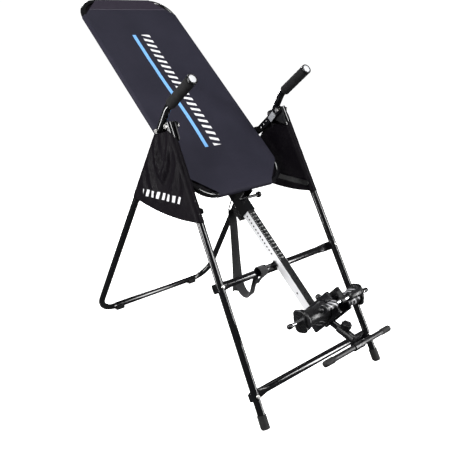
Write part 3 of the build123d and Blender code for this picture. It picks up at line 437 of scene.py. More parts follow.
def cover_nylon(print_edge=None):
    """Black nylon of the side covers, with a row of plain bars from the height print_edge up."""
    m = Nodes("cover_nylon")
    parts = m.add("SeparateXYZ", {"Vector": m.place})
    x, y, z = parts.outputs["X"], parts.outputs["Y"], parts.outputs["Z"]
    flat = m.add("CombineXYZ", {"X": y, "Y": z}).outputs[0]
    normal, threads = weave(m, flat, 0.0009, 0.0001)
    cloud = m.noise(11, 5, 0.6)
    cloth = m.mix(m.span(cloud, 0.3, 0.7), (0.0022, 0.0014, 0.0026), (0.0046, 0.0034, 0.0052))
    cloth = m.mix(m.times(threads, 0.2), cloth, (0.014, 0.013, 0.016))
    if print_edge:
        height = m.math("ADD", z, m.times(y, 0.07))
        slant = m.math("ADD", y, m.times(z, 0.3))
        phase = m.math("FRACT", m.math("DIVIDE", slant, BAR_PITCH))
        rows = m.times(band(m, height, print_edge, print_edge + COVER_BAR_HEIGHT),
                       band(m, phase, 0.2, 0.66, 0.02))
        printed = m.times(rows, band(m, y, *COVER_BAR_ENDS))
        outside = m.math("GREATER_THAN", m.math("ABSOLUTE", x), COVER_BAR_X)
        cloth = m.mix(m.times(printed, outside), cloth, (0.78, 0.78, 0.80))
    m.set(Base_Color=cloth)
    m.set(Roughness=m.span(cloud, 0.3, 0.7, 0.34, 0.50), Specular_IOR_Level=0.05)
    m.set(Normal=m.bump(m.noise(34, 5, 0.6), 0.0030, 0.9, under=normal))
    return m.material


def webbing():
    """Ribbed black strap."""
    m = Nodes("strap_webbing")
    ribs = m.add("TexWave", {"Vector": m.place, "Scale": 160.0}, bands_direction="Z").outputs["Fac"]
    m.set(Base_Color=m.mix(m.times(ribs, 0.6), (0.008, 0.008, 0.009), (0.026, 0.025, 0.028)))
    m.set(Roughness=m.span(m.noise(120, 3), 0.3, 0.7, 0.62, 0.82), Sheen_Weight=0.15)
    m.set(Normal=m.bump(ribs, 0.0004))
    return m.material


def cushion_skin(name, centre_x=0, half=0):
    """Skinned black foam, with slim silver slashes within half of centre_x where half is given."""
    m = Nodes(name)
    skin = m.mix(m.noise(25, 4), (0.008, 0.008, 0.009), (0.022, 0.022, 0.024))
    if half:
        across, along, _ = m.in_tilted_frame()
        run = m.math("ADD", across, m.times(along, 1.1))
        run = m.math("ADD", run, m.times(m.noise(16, 2), 0.018))
        phase = m.math("FRACT", m.math("DIVIDE", run, 0.021))
        mark = m.times(band(m, phase, 0.30, 0.62, 0.03),
                       band(m, across, centre_x - half, centre_x + half, 0.002))
        skin = m.mix(m.times(mark, 0.9), skin, (0.62, 0.62, 0.65))
    m.set(Base_Color=skin)
    m.set(Roughness=m.span(m.noise(60, 3), 0.3, 0.7, 0.24, 0.36))
    m.set(Normal=m.bump(m.noise(300, 2), 0.00008, under=m.bump(m.noise(28, 3), 0.0006)))
    return m.material


def slashed_plate(middle, reach):
    """Moulded black plastic with slim silver slashes printed in a round patch."""
    m = Nodes("slashed_plate")
    _, along, normal = m.in_tilted_frame()
    along = m.math("SUBTRACT", along, middle.y)
    normal = m.math("SUBTRACT", normal, middle.z)
    run = m.math("ADD", along, m.times(normal, 0.55))
    run = m.math("ADD", run, m.times(m.noise(24, 2), 0.020))
    phase = m.math("FRACT", m.math("DIVIDE", run, 0.013))
    away = m.math("ADD", m.times(along, along), m.times(normal, normal))
    patch = m.span(away, (reach * 0.7) ** 2, (reach * 1.15) ** 2, 0.85, 0)
    mark = m.times(band(m, phase, 0.35, 0.62, 0.04), patch)
    skin = m.mix(m.noise(25, 4), (0.006, 0.006, 0.007), (0.016, 0.016, 0.018))
    m.set(Base_Color=m.mix(mark, skin, (0.66, 0.66, 0.69)))
    m.set(Roughness=m.span(m.noise(60, 3), 0.3, 0.7, 0.20, 0.32))
    m.set(Normal=m.bump(m.noise(800, 2), 0.00006))
    return m.material


GLOSS_BLACK = paint("gloss_black", (0.002, 0.002, 0.0025), (0.005, 0.005, 0.006), (0.08, 0.16), coat=0.6,
                    dust=0.10)
SATIN_BLACK = paint("satin_black", (0.004, 0.004, 0.0045), (0.010, 0.010, 0.011), (0.30, 0.44))
ZINC = plated("zinc", (0.62, 0.61, 0.59), (0.22, 0.42))
CHROME = plated("chrome", (0.78, 0.78, 0.80), (0.06, 0.18))
BOOM_LOW, BOOM_HIGH = tilted_box("boom_tube")
SILVER = boom_paint((BOOM_LOW + BOOM_HIGH) / 2, (BOOM_HIGH - BOOM_LOW) / 2)
PRINT_BLACK = moulded("print_black", (0.003, 0.003, 0.0035), (0.008, 0.008, 0.009), (0.25, 0.38), 500)
PRINT_WHITE = moulded("print_white", (0.72, 0.72, 0.72), (0.86, 0.86, 0.86), (0.4, 0.55), 500)
BLACK_PLASTIC = moulded("black_plastic", (0.003, 0.003, 0.0035), (0.009, 0.009, 0.010), (0.20, 0.34))
GREY_PLASTIC = moulded("grey_plastic", (0.36, 0.37, 0.39), (0.46, 0.47, 0.49), (0.24, 0.36))
# Pale plastic of the grip discs; the same colour also makes the two painted-highlight pieces on the ankle clamp.
PALE_PLASTIC_AND_HIGHLIGHT = moulded("pale_plastic_and_highlight", (0.62, 0.63, 0.65), (0.75, 0.76, 0.78), (0.18, 0.28))
RUBBER = moulded("rubber", (0.005, 0.005, 0.005), (0.012, 0.012, 0.012), (0.6, 0.8), 700, 0.00015)
FOAM = foam("grip_foam")
WEBBING = webbing()
PLAIN_NYLON = cover_nylon()

CAD_LOOKS = {
    "black_paint": GLOSS_BLACK, "brace_paint": SATIN_BLACK, "zinc_steel": ZINC, "chromed_steel": CHROME,
    "silver_boom": SILVER, "scale_print": PRINT_BLACK, "black_plastic": BLACK_PLASTIC,
    "foot_rubber": RUBBER, "grip_foam": FOAM, "grey_plastic": GREY_PLASTIC, "cushion_foam": FOAM,
    "footrest_paint": SATIN_BLACK, "bed_nylon": FOAM, "cover_nylon": FOAM, "strap_webbing": WEBBING,
}


def dress_frame():
    """Every CAD node gets the material of its slot in the record."""
    for part in frame["record"]["subparts"]:
        mesh = nodes[part["node"]].data
        mesh.materials.clear()
        mesh.materials.append(CAD_LOOKS[part["material_slot"]])
    low, high = tilted_box("inner_plate_left")
    patch = Vector((0, (low.y + high.y) / 2, low.z + (high.z - low.z) * 0.36))
    nodes["inner_plate_left"].data.materials[0] = slashed_plate(patch, 0.038)


# ---------------------------------------------------------------- bed

def bed_fabric():
    """Cloth stretched over the loop: wrapped round its four sides and cut across its corners."""
    low, high = tilted_box("bed_loop_head")
    foot = tilted_box("bed_loop_foot")[0]
    radius = (high.z - low.z) / 2
    level = (high.z + low.z) / 2
    side_x, head, foot_end = high.x - radius, high.y - radius, foot.y + radius
    cross = tilted_box("bed_cross_tube")
    cross_along = (cross[0].y + cross[1].y) / 2
    wrap = radius + FABRIC_GAP
    rng = np.random.default_rng(4)
    waves = [(rng.uniform(8, 22), rng.uniform(-14, 14), rng.uniform(0, 6.28)) for _ in range(9)]

    def half_width(along):
        beyond = max(foot_end + BED_CUT - along, along - (head - BED_CUT), 0)
        return side_x - beyond

    def surface(x, along):
        width = half_width(along)
        spread = max(0.0, 1 - (x / width) ** 2)
        span_end = head if along > cross_along else foot_end
        place = (along - cross_along) / (span_end - cross_along)
        sag = FABRIC_SAG * spread * math.sin(math.pi * min(1, max(0, place))) ** 2
        near_foot = math.exp(-((along - foot_end) / 0.16) ** 2)
        ripple = sum(math.sin(a * along * 3 + b * x * 3 + c) for a, b, c in waves) / len(waves)
        lift = (0.0010 + 0.0035 * near_foot) * ripple * spread ** 0.7
        hem = 0.0007 if along > head - HEM_FROM_HEAD else 0.0
        seam = 0.0010 * math.exp(-((along - head + HEM_FROM_HEAD) / 0.0022) ** 2)
        return level + wrap - sag + max(lift, -0.0008) + hem - seam

    stops = np.unique(np.concatenate([
        np.linspace(foot_end, foot_end + BED_CUT, 14), np.linspace(foot_end + BED_CUT, head - BED_CUT, 96),
        np.linspace(head - BED_CUT, head, 20),
        head - HEM_FROM_HEAD + np.linspace(-0.006, 0.006, 7)]).round(5))
    shares = np.sin(np.linspace(-math.pi / 2, math.pi / 2, 61))
    points, faces = [], []
    for along in stops:
        width = half_width(along)
        points += [tilted(s * width, along, surface(s * width, along)) for s in shares]
    faces += grid_faces(len(stops), len(shares))

    turns = np.radians(np.linspace(0, FABRIC_TURN, 20))
    full = [a for a in stops if foot_end + BED_CUT - NO_STEP <= a <= head - BED_CUT + NO_STEP]
    for sign in (-1, 1):
        first = len(points)
        for along in full:
            edge = surface(side_x, along) - level
            for turn in turns:
                r = edge + (wrap - edge) * min(1, turn)
                points.append(tilted(sign * (side_x + math.sin(turn) * r), along,
                                     level + math.cos(turn) * r))
        faces += grid_faces(len(full), len(turns), first)
    for end, sign in ((foot_end, -1), (head, 1)):
        first = len(points)
        width = half_width(end)
        for share in shares:
            edge = surface(share * width, end) - level
            for turn in turns:
                r = edge + (wrap - edge) * min(1, turn)
                points.append(tilted(share * width, end + sign * math.sin(turn) * r,
                                     level + math.cos(turn) * r))
        faces += grid_faces(len(shares), len(turns), first)
    mesh = mesh_from("bed_fabric", points, faces)
    piece = finish_mesh("bed_fabric", mesh, "table", bed_nylon())
    solid(piece, FABRIC_THICK)
    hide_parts("bed_panel")
    width = 2 * (side_x + wrap * turns[-1])


# ---------------------------------------------------------------- side covers

COVER_TOP = (1.026, 1.002)       # at the front leg and at the rear leg, outside
COVER_INNER_TOP = 0.974          # the inner layer starts below the pivot plates
COVER_BOTTOM = (0.702, 0.712)
COVER_DROOP = 0.020
COVER_R = 0.0172                 # round each leg
WRAP_STEPS = 10
WEB_STEPS = 34
COVER_ROWS = 40
COVER_VALLEY = 0.62              # how far down the folds run at the cover's middle
FOLD_OUTER = 0.0105
FOLD_INNER = 0.0030
CLOTH_CAP = 0.012
BRACE_SIDE = 0.0315              # from a brace's lowest x to its outer face, with clearance
COVER_LEAST_X = 0.3075
BRACE_REACH = 0.06


def cover_shape(side):
    """Rows of points of one cover: a loop of cloth round both legs, gathered into V-shaped folds."""
    name = "left" if side < 0 else "right"
    front = leg_line(f"front_leg_{name}", "pivot_bolts")
    rear = leg_line(f"rear_leg_{name}", "fold_bolts")
    loop = [("front", math.pi * k / WRAP_STEPS) for k in range(WRAP_STEPS)]
    loop += [("inner", k / WEB_STEPS) for k in range(WEB_STEPS)]
    loop += [("rear", math.pi * k / WRAP_STEPS) for k in range(WRAP_STEPS)]
    loop += [("outer", k / WEB_STEPS) for k in range(WEB_STEPS)]
    rows = []
    for row in range(COVER_ROWS):
        down = row / (COVER_ROWS - 1)
        points = []
        for part, place in loop:
            inside = {"front": 0.5 - math.cos(place) / 2, "inner": 1.0,
                      "rear": 0.5 + math.cos(place) / 2, "outer": 0.0}[part]
            across = {"front": 0.0, "inner": place, "rear": 1.0, "outer": 1 - place}[part]
            outer_top = COVER_TOP[0] + (COVER_TOP[1] - COVER_TOP[0]) * across
            top = outer_top + (COVER_INNER_TOP - outer_top) * inside
            bottom = COVER_BOTTOM[0] + (COVER_BOTTOM[1] - COVER_BOTTOM[0]) * across
            span = 4 * across * (1 - across)
            z = top + (bottom - COVER_DROOP * span - top) * down
            gather = 0.0006 * math.sin(down * 61 + across * 9) * math.sin(down * 23)
            radius = COVER_R + gather
            if part == "front":
                point = front(z) + Vector((side * math.cos(place), -math.sin(place), 0)) * radius
            elif part == "rear":
                point = rear(z) + Vector((-side * math.cos(place), math.sin(place), 0)) * radius
            else:
                outward = 1 if part == "outer" else -1
                ends = front(z), rear(z)
                point = ends[0].lerp(ends[1], across) + ACROSS * side * outward * radius
                valley = COVER_VALLEY * (1 - abs(2 * across - 1) ** 1.25)
                phase = down - valley * (0.35 + 0.65 * down)
                edge = min(1.0, 3.2 * across, 3.2 * (1 - across))
                strength = edge * math.exp(-((down - 0.42) / 0.34) ** 2)
                fold = math.sin(2 * math.pi * (3.4 * phase + 0.10 * math.sin(7 * across)))
                hem = math.sin(across * 19 + 1) * edge * down ** 4
                crease = math.sin(41 * across + 9 * down) * math.sin(33 * down - 12 * across + 1.3)
                fold += 0.28 * crease
                depth = FOLD_OUTER if part == "outer" else FOLD_INNER
                lift = depth * strength * (0.35 + fold) + 0.0022 * hem
                point += ACROSS * side * outward * max(-0.002, lift)
            points.append(point)
        rows.append(points)
    pinned = [row * len(loop) + k for row in range(COVER_ROWS) for k, (part, place) in enumerate(loop)
              if part in ("front", "rear") or row == 0 or place < NO_STEP]
    return rows, pinned


def side_covers(material):
    for name, side in SIDES:
        rows, pinned = cover_shape(side)
        faces = grid_faces(len(rows), len(rows[0]), around=True)
        mesh = bpy.data.meshes.new(f"cover_cloth_{name}")
        mesh.from_pydata([tuple(p) for row in rows for p in row], [], faces)
        piece = finish_mesh(f"cover_cloth_{name}", mesh, None, material)
        settle(piece, pinned, frames=22, cap=CLOTH_CAP)
        keep_off_braces(piece, side)
        solid(piece, COVER_THICK, levels=1)
        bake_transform(piece)
        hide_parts(f"side_cover_{name}")


def keep_off_braces(piece, side):
    """The inner layer stays outside the folding braces, which lie between the legs."""
    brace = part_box("front_brace_left")
    limit = max(abs(brace[0].x) - BRACE_SIDE, COVER_LEAST_X)
    for vertex in piece.data.vertices:
        if side * vertex.co.x < limit and abs(vertex.co.z - brace[0].z) < BRACE_REACH:
            vertex.co.x = side * limit


# ---------------------------------------------------------------- straps

def smooth_route(points):
    """Points along one smooth curve that is steered by a few given points."""
    curve = bpy.data.curves.new("route", "CURVE")
    curve.dimensions = "3D"
    line = curve.splines.new("NURBS")
    line.points.add(len(points) - 1)
    for control, place in zip(line.points, points):
        control.co = (*place, 1)
    line.order_u = 3
    line.use_endpoint_u = True
    line.resolution_u = 10
    holder = bpy.data.objects.new("route", curve)
    bpy.context.scene.collection.objects.link(holder)
    mesh = bpy.data.meshes.new_from_object(holder.evaluated_get(bpy.context.evaluated_depsgraph_get()))
    route = [v.co.copy() for v in mesh.vertices]
    bpy.data.objects.remove(holder)
    bpy.data.meshes.remove(mesh)
    return route


RIBBON_EDGE = ((-1, -0.5), (-0.96, -1), (-0.5, -1), (0, -1), (0.5, -1), (0.96, -1), (1, -0.5),
               (1, 0.5), (0.96, 1), (0.5, 1), (0, 1), (-0.5, 1), (-0.96, 1), (-1, 0.5))


def ribbon(name, route, twist):
    """Flat webbing along a route; twist gives its turn about the route at each share of the length."""
    points = []
    for k, place in enumerate(route):
        ahead = (route[min(k + 1, len(route) - 1)] - route[max(k - 1, 0)]).normalized()
        flat = (ACROSS - ahead * ahead.dot(ACROSS)).normalized()
        flat = Matrix.Rotation(twist(k / (len(route) - 1)), 3, ahead) @ flat
        out = ahead.cross(flat)
        for a, b in RIBBON_EDGE:
            points.append(place + flat * (a * STRAP_WIDTH / 2) + out * (b * STRAP_THICK / 2))
    ring = len(RIBBON_EDGE)
    faces = grid_faces(len(route), ring, around=True)
    faces += [tuple(range(ring)), tuple(range((len(route) - 1) * ring, len(route) * ring))]
    return finish_mesh(name, mesh_from(name, points, faces), None, WEBBING)


def tether():
    """Slack strap from the ring under the bed, down and up to the crossbar, and its loose end."""
    ring_low, ring_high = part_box("strap_ring")
    bar_low, bar_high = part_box("upper_crossbar")
    saddle_low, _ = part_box("boom_saddle")
    bar = axis_of("upper_crossbar")[0]
    ring = Vector(((ring_low.x + ring_high.x) / 2, (ring_low.y + ring_high.y) / 2, ring_low.z + 0.004))
    hook = Vector((saddle_low.x + 0.004, bar.y, (bar_low.z + bar_high.z) / 2))
    round_bar = 0.0205
    steps = [(0, -0.006, 0.002), (0, 0.007, -0.003), (-0.004, -0.012, -0.040), (-0.016, -0.036, -0.130),
             (-0.032, -0.068, -0.240), (-0.050, -0.104, -0.308), (-0.062, -0.150, -0.336),
             (-0.074, -0.205, -0.322)]
    loop = [(-0.002, 0.045, -0.100), (0, 0.026, -0.030), (0, round_bar + 0.002, 0.008),
            (0, 0.006, round_bar + 0.004), (0, -round_bar - 0.002, 0.012), (0, -round_bar - 0.001, -0.010),
            (0, 0.000, -0.030), (0, 0.016, -0.046), (0, 0.026, -0.066)]
    line = smooth_route([ring + Vector(p) for p in steps] + [hook + Vector(p) for p in loop])
    strap = ribbon("tether_webbing", line,
                   lambda share: 0.5 * math.sin(math.pi * min(1, share * 1.5)) * (1 - share))
    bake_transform(strap)
    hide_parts("tether_strap")

    hanging = [(0.001, -0.002, -0.024), (-0.003, -0.015, -0.070), (-0.015, -0.034, -0.150),
               (-0.026, -0.056, -0.240), (-0.034, -0.070, -0.318), (-0.038, -0.072, -0.362)]
    tail = smooth_route([ring + Vector(p) for p in hanging])
    loose = ribbon("tether_tail", tail, lambda share: 0.25 * share)
    cut_zone, cut_rise = 0.004, 0.016
    for vertex in loose.data.vertices:
        from_end = vertex.co.z - tail[-1].z
        if from_end < cut_zone:
            vertex.co.z += cut_rise * (1 - min(1, abs(vertex.co.x - tail[-1].x) / (STRAP_WIDTH / 2)))
    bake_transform(loose)


# ---------------------------------------------------------------- hand holds

GRIP_BORE = 0.0153


def hand_holds():
    """Foam sleeves with a plain lip and a pale disc let into each end."""
    for name, _ in SIDES:
        middle, direction, half, radius = axis_of(f"grip_{name}")
        end = axis_of(f"grip_cap_{name}")[0]
        if (end - middle).dot(direction) < 0:
            direction = -direction
        bore = GRIP_BORE
        start = middle - direction * half
        length = 2 * half
        profile = [(0.0006, bore), (0.0, bore + 0.0022), (0.0012, radius - 0.0020),
                   (0.0045, radius - 0.0003)]
        profile += [(length * k / 24, radius + 0.0004 * math.sin(k * 1.7)) for k in range(1, 24)]
        profile += [(length - 0.0030, radius - 0.0002), (length - 0.0004, radius - 0.0014),
                    (length, bore + 0.003), (length - 0.0006, bore)]
        foam_piece = lathe(f"grip_foam_{name}", start, direction, profile, "rear_frame", FOAM,
                           56, lambda d, a: 0.008 * math.sin(3 * a + d * 60) * math.sin(d * 47))
        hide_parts(f"grip_{name}")
        tip = middle + direction * (half + 0.0002)
        lip = [(0.0, 0.0), (0.0, radius - 0.001), (0.0016, radius + 0.0002), (0.0090, radius + 0.0002),
               (0.0116, radius - 0.0006), (0.0128, radius - 0.0030), (0.0124, radius - 0.0048),
               (0.0104, radius - 0.0054), (0.0100, 0.0)]
        cap = lathe(f"grip_lip_{name}", tip, direction, lip, "rear_frame", BLACK_PLASTIC,
                    56)
        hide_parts(f"grip_cap_{name}")
        disc = [(0.0098, radius - 0.0056), (0.0112, radius - 0.0060), (0.0121, radius - 0.0080),
                (0.0127, radius * 0.35), (0.0129, 0.0)]
        lathe(f"grip_disc_{name}", tip, direction, disc, "rear_frame", PALE_PLASTIC_AND_HIGHLIGHT, 56)


# ---------------------------------------------------------------- ankle clamp

CUSHION_BORE = 0.0072
CUSHION_STEPS = 30


def cushion(node, waist_share, material, lip):
    """Waisted moulded cushion with a lip at its outer end."""
    low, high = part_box(node)
    side = 1 if low.x > 0 else -1
    radius = (high.z - low.z) / 2
    bore = CUSHION_BORE
    inner = min(abs(low.x), abs(high.x))
    length = high.x - low.x
    start = Vector((side * inner, (low.y + high.y) / 2, (low.z + high.z) / 2))
    waist = radius * waist_share
    profile = [(0.0010, bore), (0.0, bore + 0.003), (0.0006, radius * 0.86), (0.0030, radius * 0.93)]
    for k in range(1, CUSHION_STEPS):
        share = k / CUSHION_STEPS
        profile.append((length * share, waist + (radius * 0.97 - waist) * abs(2 * share - 1) ** 2.1))
    profile += [(length - lip, radius * 0.965), (length - lip + 0.0008, radius), (length - 0.0020, radius),
                (length - 0.0002, radius * 0.95), (length, radius * 0.60), (length - 0.0030, radius * 0.52),
                (length - 0.0030, bore)]
    piece = lathe(f"{node}_foam", start, ACROSS * side, profile, node, material, 64,
                  lambda d, a: 0.006 * math.sin(2 * a + d * 30))
    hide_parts(node)


def rod_ends(rod, body):
    """Caps on both ends of a cushion rod, and its thread."""
    low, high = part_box(rod)
    radius = (high.z - low.z) / 2
    centre = (low + high) / 2
    cap_length, cap_wall, turns = 0.010, 0.0030, 60
    for name, side in SIDES:
        tip = Vector((high.x * side - side * cap_length, centre.y, centre.z))
        cap = [(0.0, radius), (0.0, radius + 0.0022), (0.002, radius + cap_wall), (0.014, radius + cap_wall),
               (0.0185, radius + 0.001), (0.0205, radius * 0.5), (0.0210, 0.0)]
        lathe(f"{rod}_cap_{name}", tip, ACROSS * side, cap, body, BLACK_PLASTIC, 32)
    run = high.x - low.x - 2 * cap_length
    thread = [(run * k / (turns * 2), radius + (0.0007 if k % 2 else 0.0001)) for k in range(turns * 2 + 1)]
    lathe(f"{rod}_thread", Vector((low.x + cap_length, centre.y, centre.z)), ACROSS,
          [(0.0, 0.0), *thread, (run, 0.0)], body, CHROME, 24)


# Turn and stretch of the painted highlight on the end plate.
OVAL_TURN = math.radians(35)
OVAL_STRETCH = 2.1


def ankle_clamp():
    """Cushions, rod ends, and two pale pieces that are painted highlights: an oval on the end plate and a line on
    the side plate.
    """
    plain = cushion_skin("cushion_black")
    rear_low, rear_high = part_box("rear_roller_right")
    striped = cushion_skin("cushion_striped", (rear_low.x + rear_high.x) / 2, 0.042)
    marked = cushion_skin("cushion_marked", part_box("front_roller_left")[1].x - 0.030, 0.024)
    cushion("rear_roller_left", 0.74, plain, 0.016)
    cushion("rear_roller_right", 0.74, striped, 0.016)
    cushion("front_roller_left", 0.80, marked, 0.008)
    cushion("front_roller_right", 0.80, plain, 0.008)
    rod_ends("rear_rod", "boom")
    rod_ends("front_rod", "front_clamp")

    # Painted highlight: a pale stretched oval raised on the right end plate, in place of the light that its curved
    # end catches.
    plate_low, plate_high = tilted_box("outer_plate_right")
    centre = (plate_low + plate_high) / 2
    middle = tilted(plate_high.x + 0.0002, centre.y, centre.z)
    dome = [(0.0, 0.0), (0.0, 0.0100), (0.0010, 0.0098), (0.0021, 0.0080), (0.0026, 0.0)]
    oval = lathe("end_plate_painted_highlight", middle, ACROSS, dome, "boom", PALE_PLASTIC_AND_HIGHLIGHT, 48)
    long_way = ALONG * math.cos(OVAL_TURN) + NORMAL * math.sin(OVAL_TURN)
    for vertex in oval.data.vertices:
        away = vertex.co - middle
        vertex.co += long_way * away.dot(long_way) * OVAL_STRETCH

    # Painted highlight: a pale strip along the left side plate's upper edge, in place of the light caught along
    # that edge.
    low, high = tilted_box("inner_plate_left")
    place = tilted(low.x - 0.0008, (low.y + high.y) / 2 + 0.006, low.z + 0.088)
    bevel_box("side_plate_painted_highlight", place, (0.0016, 0.062, 0.011), "boom", PALE_PLASTIC_AND_HIGHLIGHT, 0.0006)


# ---------------------------------------------------------------- small pieces

def brace_rivets():
    for name, side in SIDES:
        low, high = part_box(f"front_brace_{name}")
        half = (high.z - low.z) / 2
        inner = min(abs(low.x), abs(high.x))
        place = Vector((side * (inner - 0.0001), high.y - half, (low.z + high.z) / 2))
        dome = [(0.0, 0.0), (0.0, 0.0068), (0.0010, 0.0066), (0.0024, 0.0050), (0.0032, 0.0024),
                (0.0034, 0.0)]
        lathe(f"brace_rivet_{name}", place, ACROSS * -side, dome, f"front_brace_{name}", ZINC,
              32)


def arm_labels():
    """Plain grey plate on the inner face of each pivot arm."""
    pivot = Vector(joints["table_tilt"]["pos_m"])
    for name, side in SIDES:
        face = side * (ARM_LABEL_X - 0.0006)
        place = tilted(face, pivot.dot(ALONG) + 0.002, pivot.dot(NORMAL) - 0.046)
        bevel_box(f"arm_plate_{name}", place, (0.0014, 0.028, 0.042), "table", GREY_PLASTIC,
                  0.0006)


def bar_ends():
    """Ribbed sleeves on the ends of the footrest bar."""
    low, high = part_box("footrest_bar")
    radius = (high.z - low.z) / 2
    centre = (low + high) / 2
    length = 0.050
    for name, side in SIDES:
        start = Vector((side * (high.x - length), centre.y, centre.z))
        profile = [(0.0, radius), (0.0, radius + 0.0012), (0.0016, radius + 0.0022)]
        for k in range(1, 13):
            profile.append((0.0016 + 0.0032 * k, radius + (0.0022 if k % 2 else 0.0014)))
        profile += [(length - 0.003, radius + 0.0018), (length, radius), (length + 0.0025, radius * 0.6),
                    (length + 0.003, 0.0)]
        lathe(f"footrest_end_{name}", start, ACROSS * side, profile, "footrest", RUBBER, 40)


def corner_gussets():
    """Dark patches between the bed cloth's cut corners and the bend of the tube."""
    low, high = tilted_box("bed_loop_head")
    foot = tilted_box("bed_loop_foot")[0]
    radius = (high.z - low.z) / 2
    level = (high.z + low.z) / 2
    side_x, head, foot_end = high.x - radius, high.y - radius, foot.y + radius
    bend, sewn_on = 0.100, 0.006
    steps, layers = 18, 5
    for end_name, end, way in (("head", head, 1), ("foot", foot_end, -1)):
        for name, side in SIDES:
            centre = (side * (side_x - bend), end - way * bend)
            points = []
            for k in range(steps + 1):
                share = k / steps
                angle = math.radians(4 + 82 * share)
                rim = bend - radius + 0.003
                arc = Vector((centre[0] + side * math.cos(angle) * rim,
                              centre[1] + way * math.sin(angle) * rim))
                cut = Vector((side * (side_x - BED_CUT * share), end - way * BED_CUT * (1 - share)))
                cut -= Vector((side, way)) * sewn_on
                for layer in range(layers):
                    t = layer / (layers - 1)
                    flat = cut.lerp(arc, t)
                    height = level + radius * (0.90 - 0.75 * t) - 0.002 * math.sin(math.pi * t)
                    points.append(tilted(flat.x, flat.y, height))
            gusset = f"bed_gusset_{end_name}_{name}"
            mesh = mesh_from(gusset, points, grid_faces(steps + 1, layers))
            piece = finish_mesh(gusset, mesh, "table", PLAIN_NYLON)
            solid(piece, 0.0010)


SCALE_PITCH = 0.0175
SCALE_COUNT = 14
FIRST_NUMBER = 148
DIGITS_X = 0.0055
PRINT_THICK = 0.00012


def scale_marks():
    """White lines and plain numbers along the height scale on the boom."""
    low, high = tilted_box("scale_strip")
    level = high.z + 0.00015
    first = high.y - SCALE_START
    work = bmesh.new()

    def bar(x, along, width, length):
        corners = [(x - width / 2, along - length / 2), (x + width / 2, along - length / 2),
                   (x + width / 2, along + length / 2), (x - width / 2, along + length / 2)]
        work.faces.new([work.verts.new(tilted(cx, ca, level)) for cx, ca in corners])

    for k in range(SCALE_COUNT):
        along = first - SCALE_PITCH * k
        bar(-0.0105, along, 0.010, 0.0012)
        bar(-0.0130, along - SCALE_PITCH / 2, 0.005, 0.0010)
        font = bpy.data.curves.new("digits", "FONT")
        font.body = str(FIRST_NUMBER + 4 * k)
        font.size = 0.0085
        font.align_x = "CENTER"
        font.align_y = "CENTER"
        holder = bpy.data.objects.new("digits", font)
        bpy.context.scene.collection.objects.link(holder)
        graph = bpy.context.evaluated_depsgraph_get()
        digits = bpy.data.meshes.new_from_object(holder.evaluated_get(graph))
        digits.transform(Matrix.Translation(tilted(DIGITS_X, along, level)) @ TILTED_BASIS)
        work.from_mesh(digits)
        bpy.data.objects.remove(holder)
        bpy.data.meshes.remove(digits)
    mesh = bpy.data.meshes.new("scale_marks")
    work.to_mesh(mesh)
    work.free()
    piece = finish_mesh("scale_marks", mesh, "boom", PRINT_WHITE, smooth=False)
    thick = piece.modifiers.new("thickness", "SOLIDIFY")
    thick.thickness = PRINT_THICK
    bake(piece)


# ---------------------------------------------------------------- floor, lights, camera

CAMERA_AT = (-1.6706, -1.8743, 1.4477)
CAMERA_YAW = -41.66
CAMERA_PITCH = 19.61
CAMERA_VIEW = 41.53

AMBIENT = 0.07
BACKDROP = 1.05            # brightness of the background as the camera sees it
FLOOR_GLOW = 0.96
FLOOR_REACH = 30
AIM_HEIGHT = 0.7           # lamps point here, and low ones point level
LOW_LAMP = 1.0
# name, place, size, power
LIGHTS = (("key", (1.2, -3.3, 3.4), (0.9, 2.6), 120), ("fill", (-3.4, -0.6, 2.4), (0.9, 2.6), 110),
          ("back", (0.6, 3.6, 3.2), (1.2, 2.0), 40), ("top", (0, 0, 4.2), (1.4, 1.4), 38),
          ("strip_left", (-2.0, 0.8, 0.75), (0.30, 1.8), 40),
          ("strip_right", (1.5, -2.0, 0.75), (0.30, 1.8), 34),
          ("strip_behind", (1.2, 2.2, 0.75), (0.30, 1.8), 34))


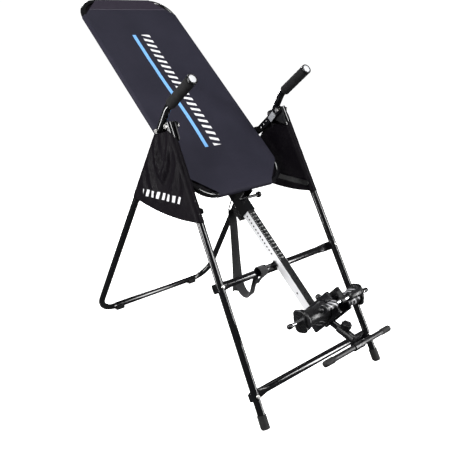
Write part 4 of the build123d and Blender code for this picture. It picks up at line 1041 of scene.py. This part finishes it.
def studio():
    """Pale floor, soft lights and the camera."""
    floor_look = Nodes("floor")
    tone = floor_look.noise(1.5, 3)
    floor_look.set(Base_Color=floor_look.mix(tone, (0.93, 0.93, 0.93), (0.95, 0.95, 0.95)),
                   Roughness=floor_look.span(tone, 0, 1, 0.7, 0.8), Emission_Color=(1, 1, 1, 1),
                   Emission_Strength=FLOOR_GLOW)
    mesh = bpy.data.meshes.new("floor")
    reach = FLOOR_REACH
    mesh.from_pydata([(-reach, -reach, 0), (reach, -reach, 0), (reach, reach, 0), (-reach, reach, 0)], [],
                     [(0, 1, 2, 3)])
    mesh.materials.append(floor_look.material)
    floor = bpy.data.objects.new("floor", mesh)
    bpy.context.scene.collection.objects.link(floor)
    floor.visible_glossy = False
    floor.visible_diffuse = False

    world = bpy.data.worlds.new("studio")
    bpy.context.scene.world = world
    world.use_nodes = True
    tree = world.node_tree
    background = tree.nodes["Background"]
    background.inputs["Color"].default_value = (1, 1, 1, 1)
    rays = tree.nodes.new("ShaderNodeLightPath")
    shade = tree.nodes.new("ShaderNodeMapRange")
    shade.inputs["To Min"].default_value = AMBIENT
    shade.inputs["To Max"].default_value = BACKDROP
    tree.links.new(rays.outputs["Is Camera Ray"], shade.inputs["Value"])
    tree.links.new(shade.outputs["Result"], background.inputs["Strength"])
    for name, place, size, power in LIGHTS:
        light = bpy.data.lights.new(name, "AREA")
        light.shape = "RECTANGLE"
        light.size, light.size_y = size
        light.energy = power
        lamp = bpy.data.objects.new(name, light)
        lamp.location = place
        lamp.visible_camera = False
        aim = Vector((0, 0, place[2] if place[2] < LOW_LAMP else AIM_HEIGHT))
        lamp.rotation_euler = (aim - Vector(place)).to_track_quat("-Z", "Y").to_euler()
        bpy.context.scene.collection.objects.link(lamp)

    camera = bpy.data.cameras.new("camera")
    camera.angle = math.radians(CAMERA_VIEW)
    eye = bpy.data.objects.new("camera", camera)
    eye.location = CAMERA_AT
    eye.rotation_euler = (math.radians(90 - CAMERA_PITCH), 0, math.radians(CAMERA_YAW))
    bpy.context.scene.collection.objects.link(eye)
    bpy.context.scene.camera = eye
    bpy.context.scene.view_settings.view_transform = "Standard"


dress_frame()
bed_fabric()
corner_gussets()
side_covers(cover_nylon(COVER_PRINT_FROM))
tether()
hand_holds()
ankle_clamp()
brace_rivets()
arm_labels()
bar_ends()
scale_marks()
studio()
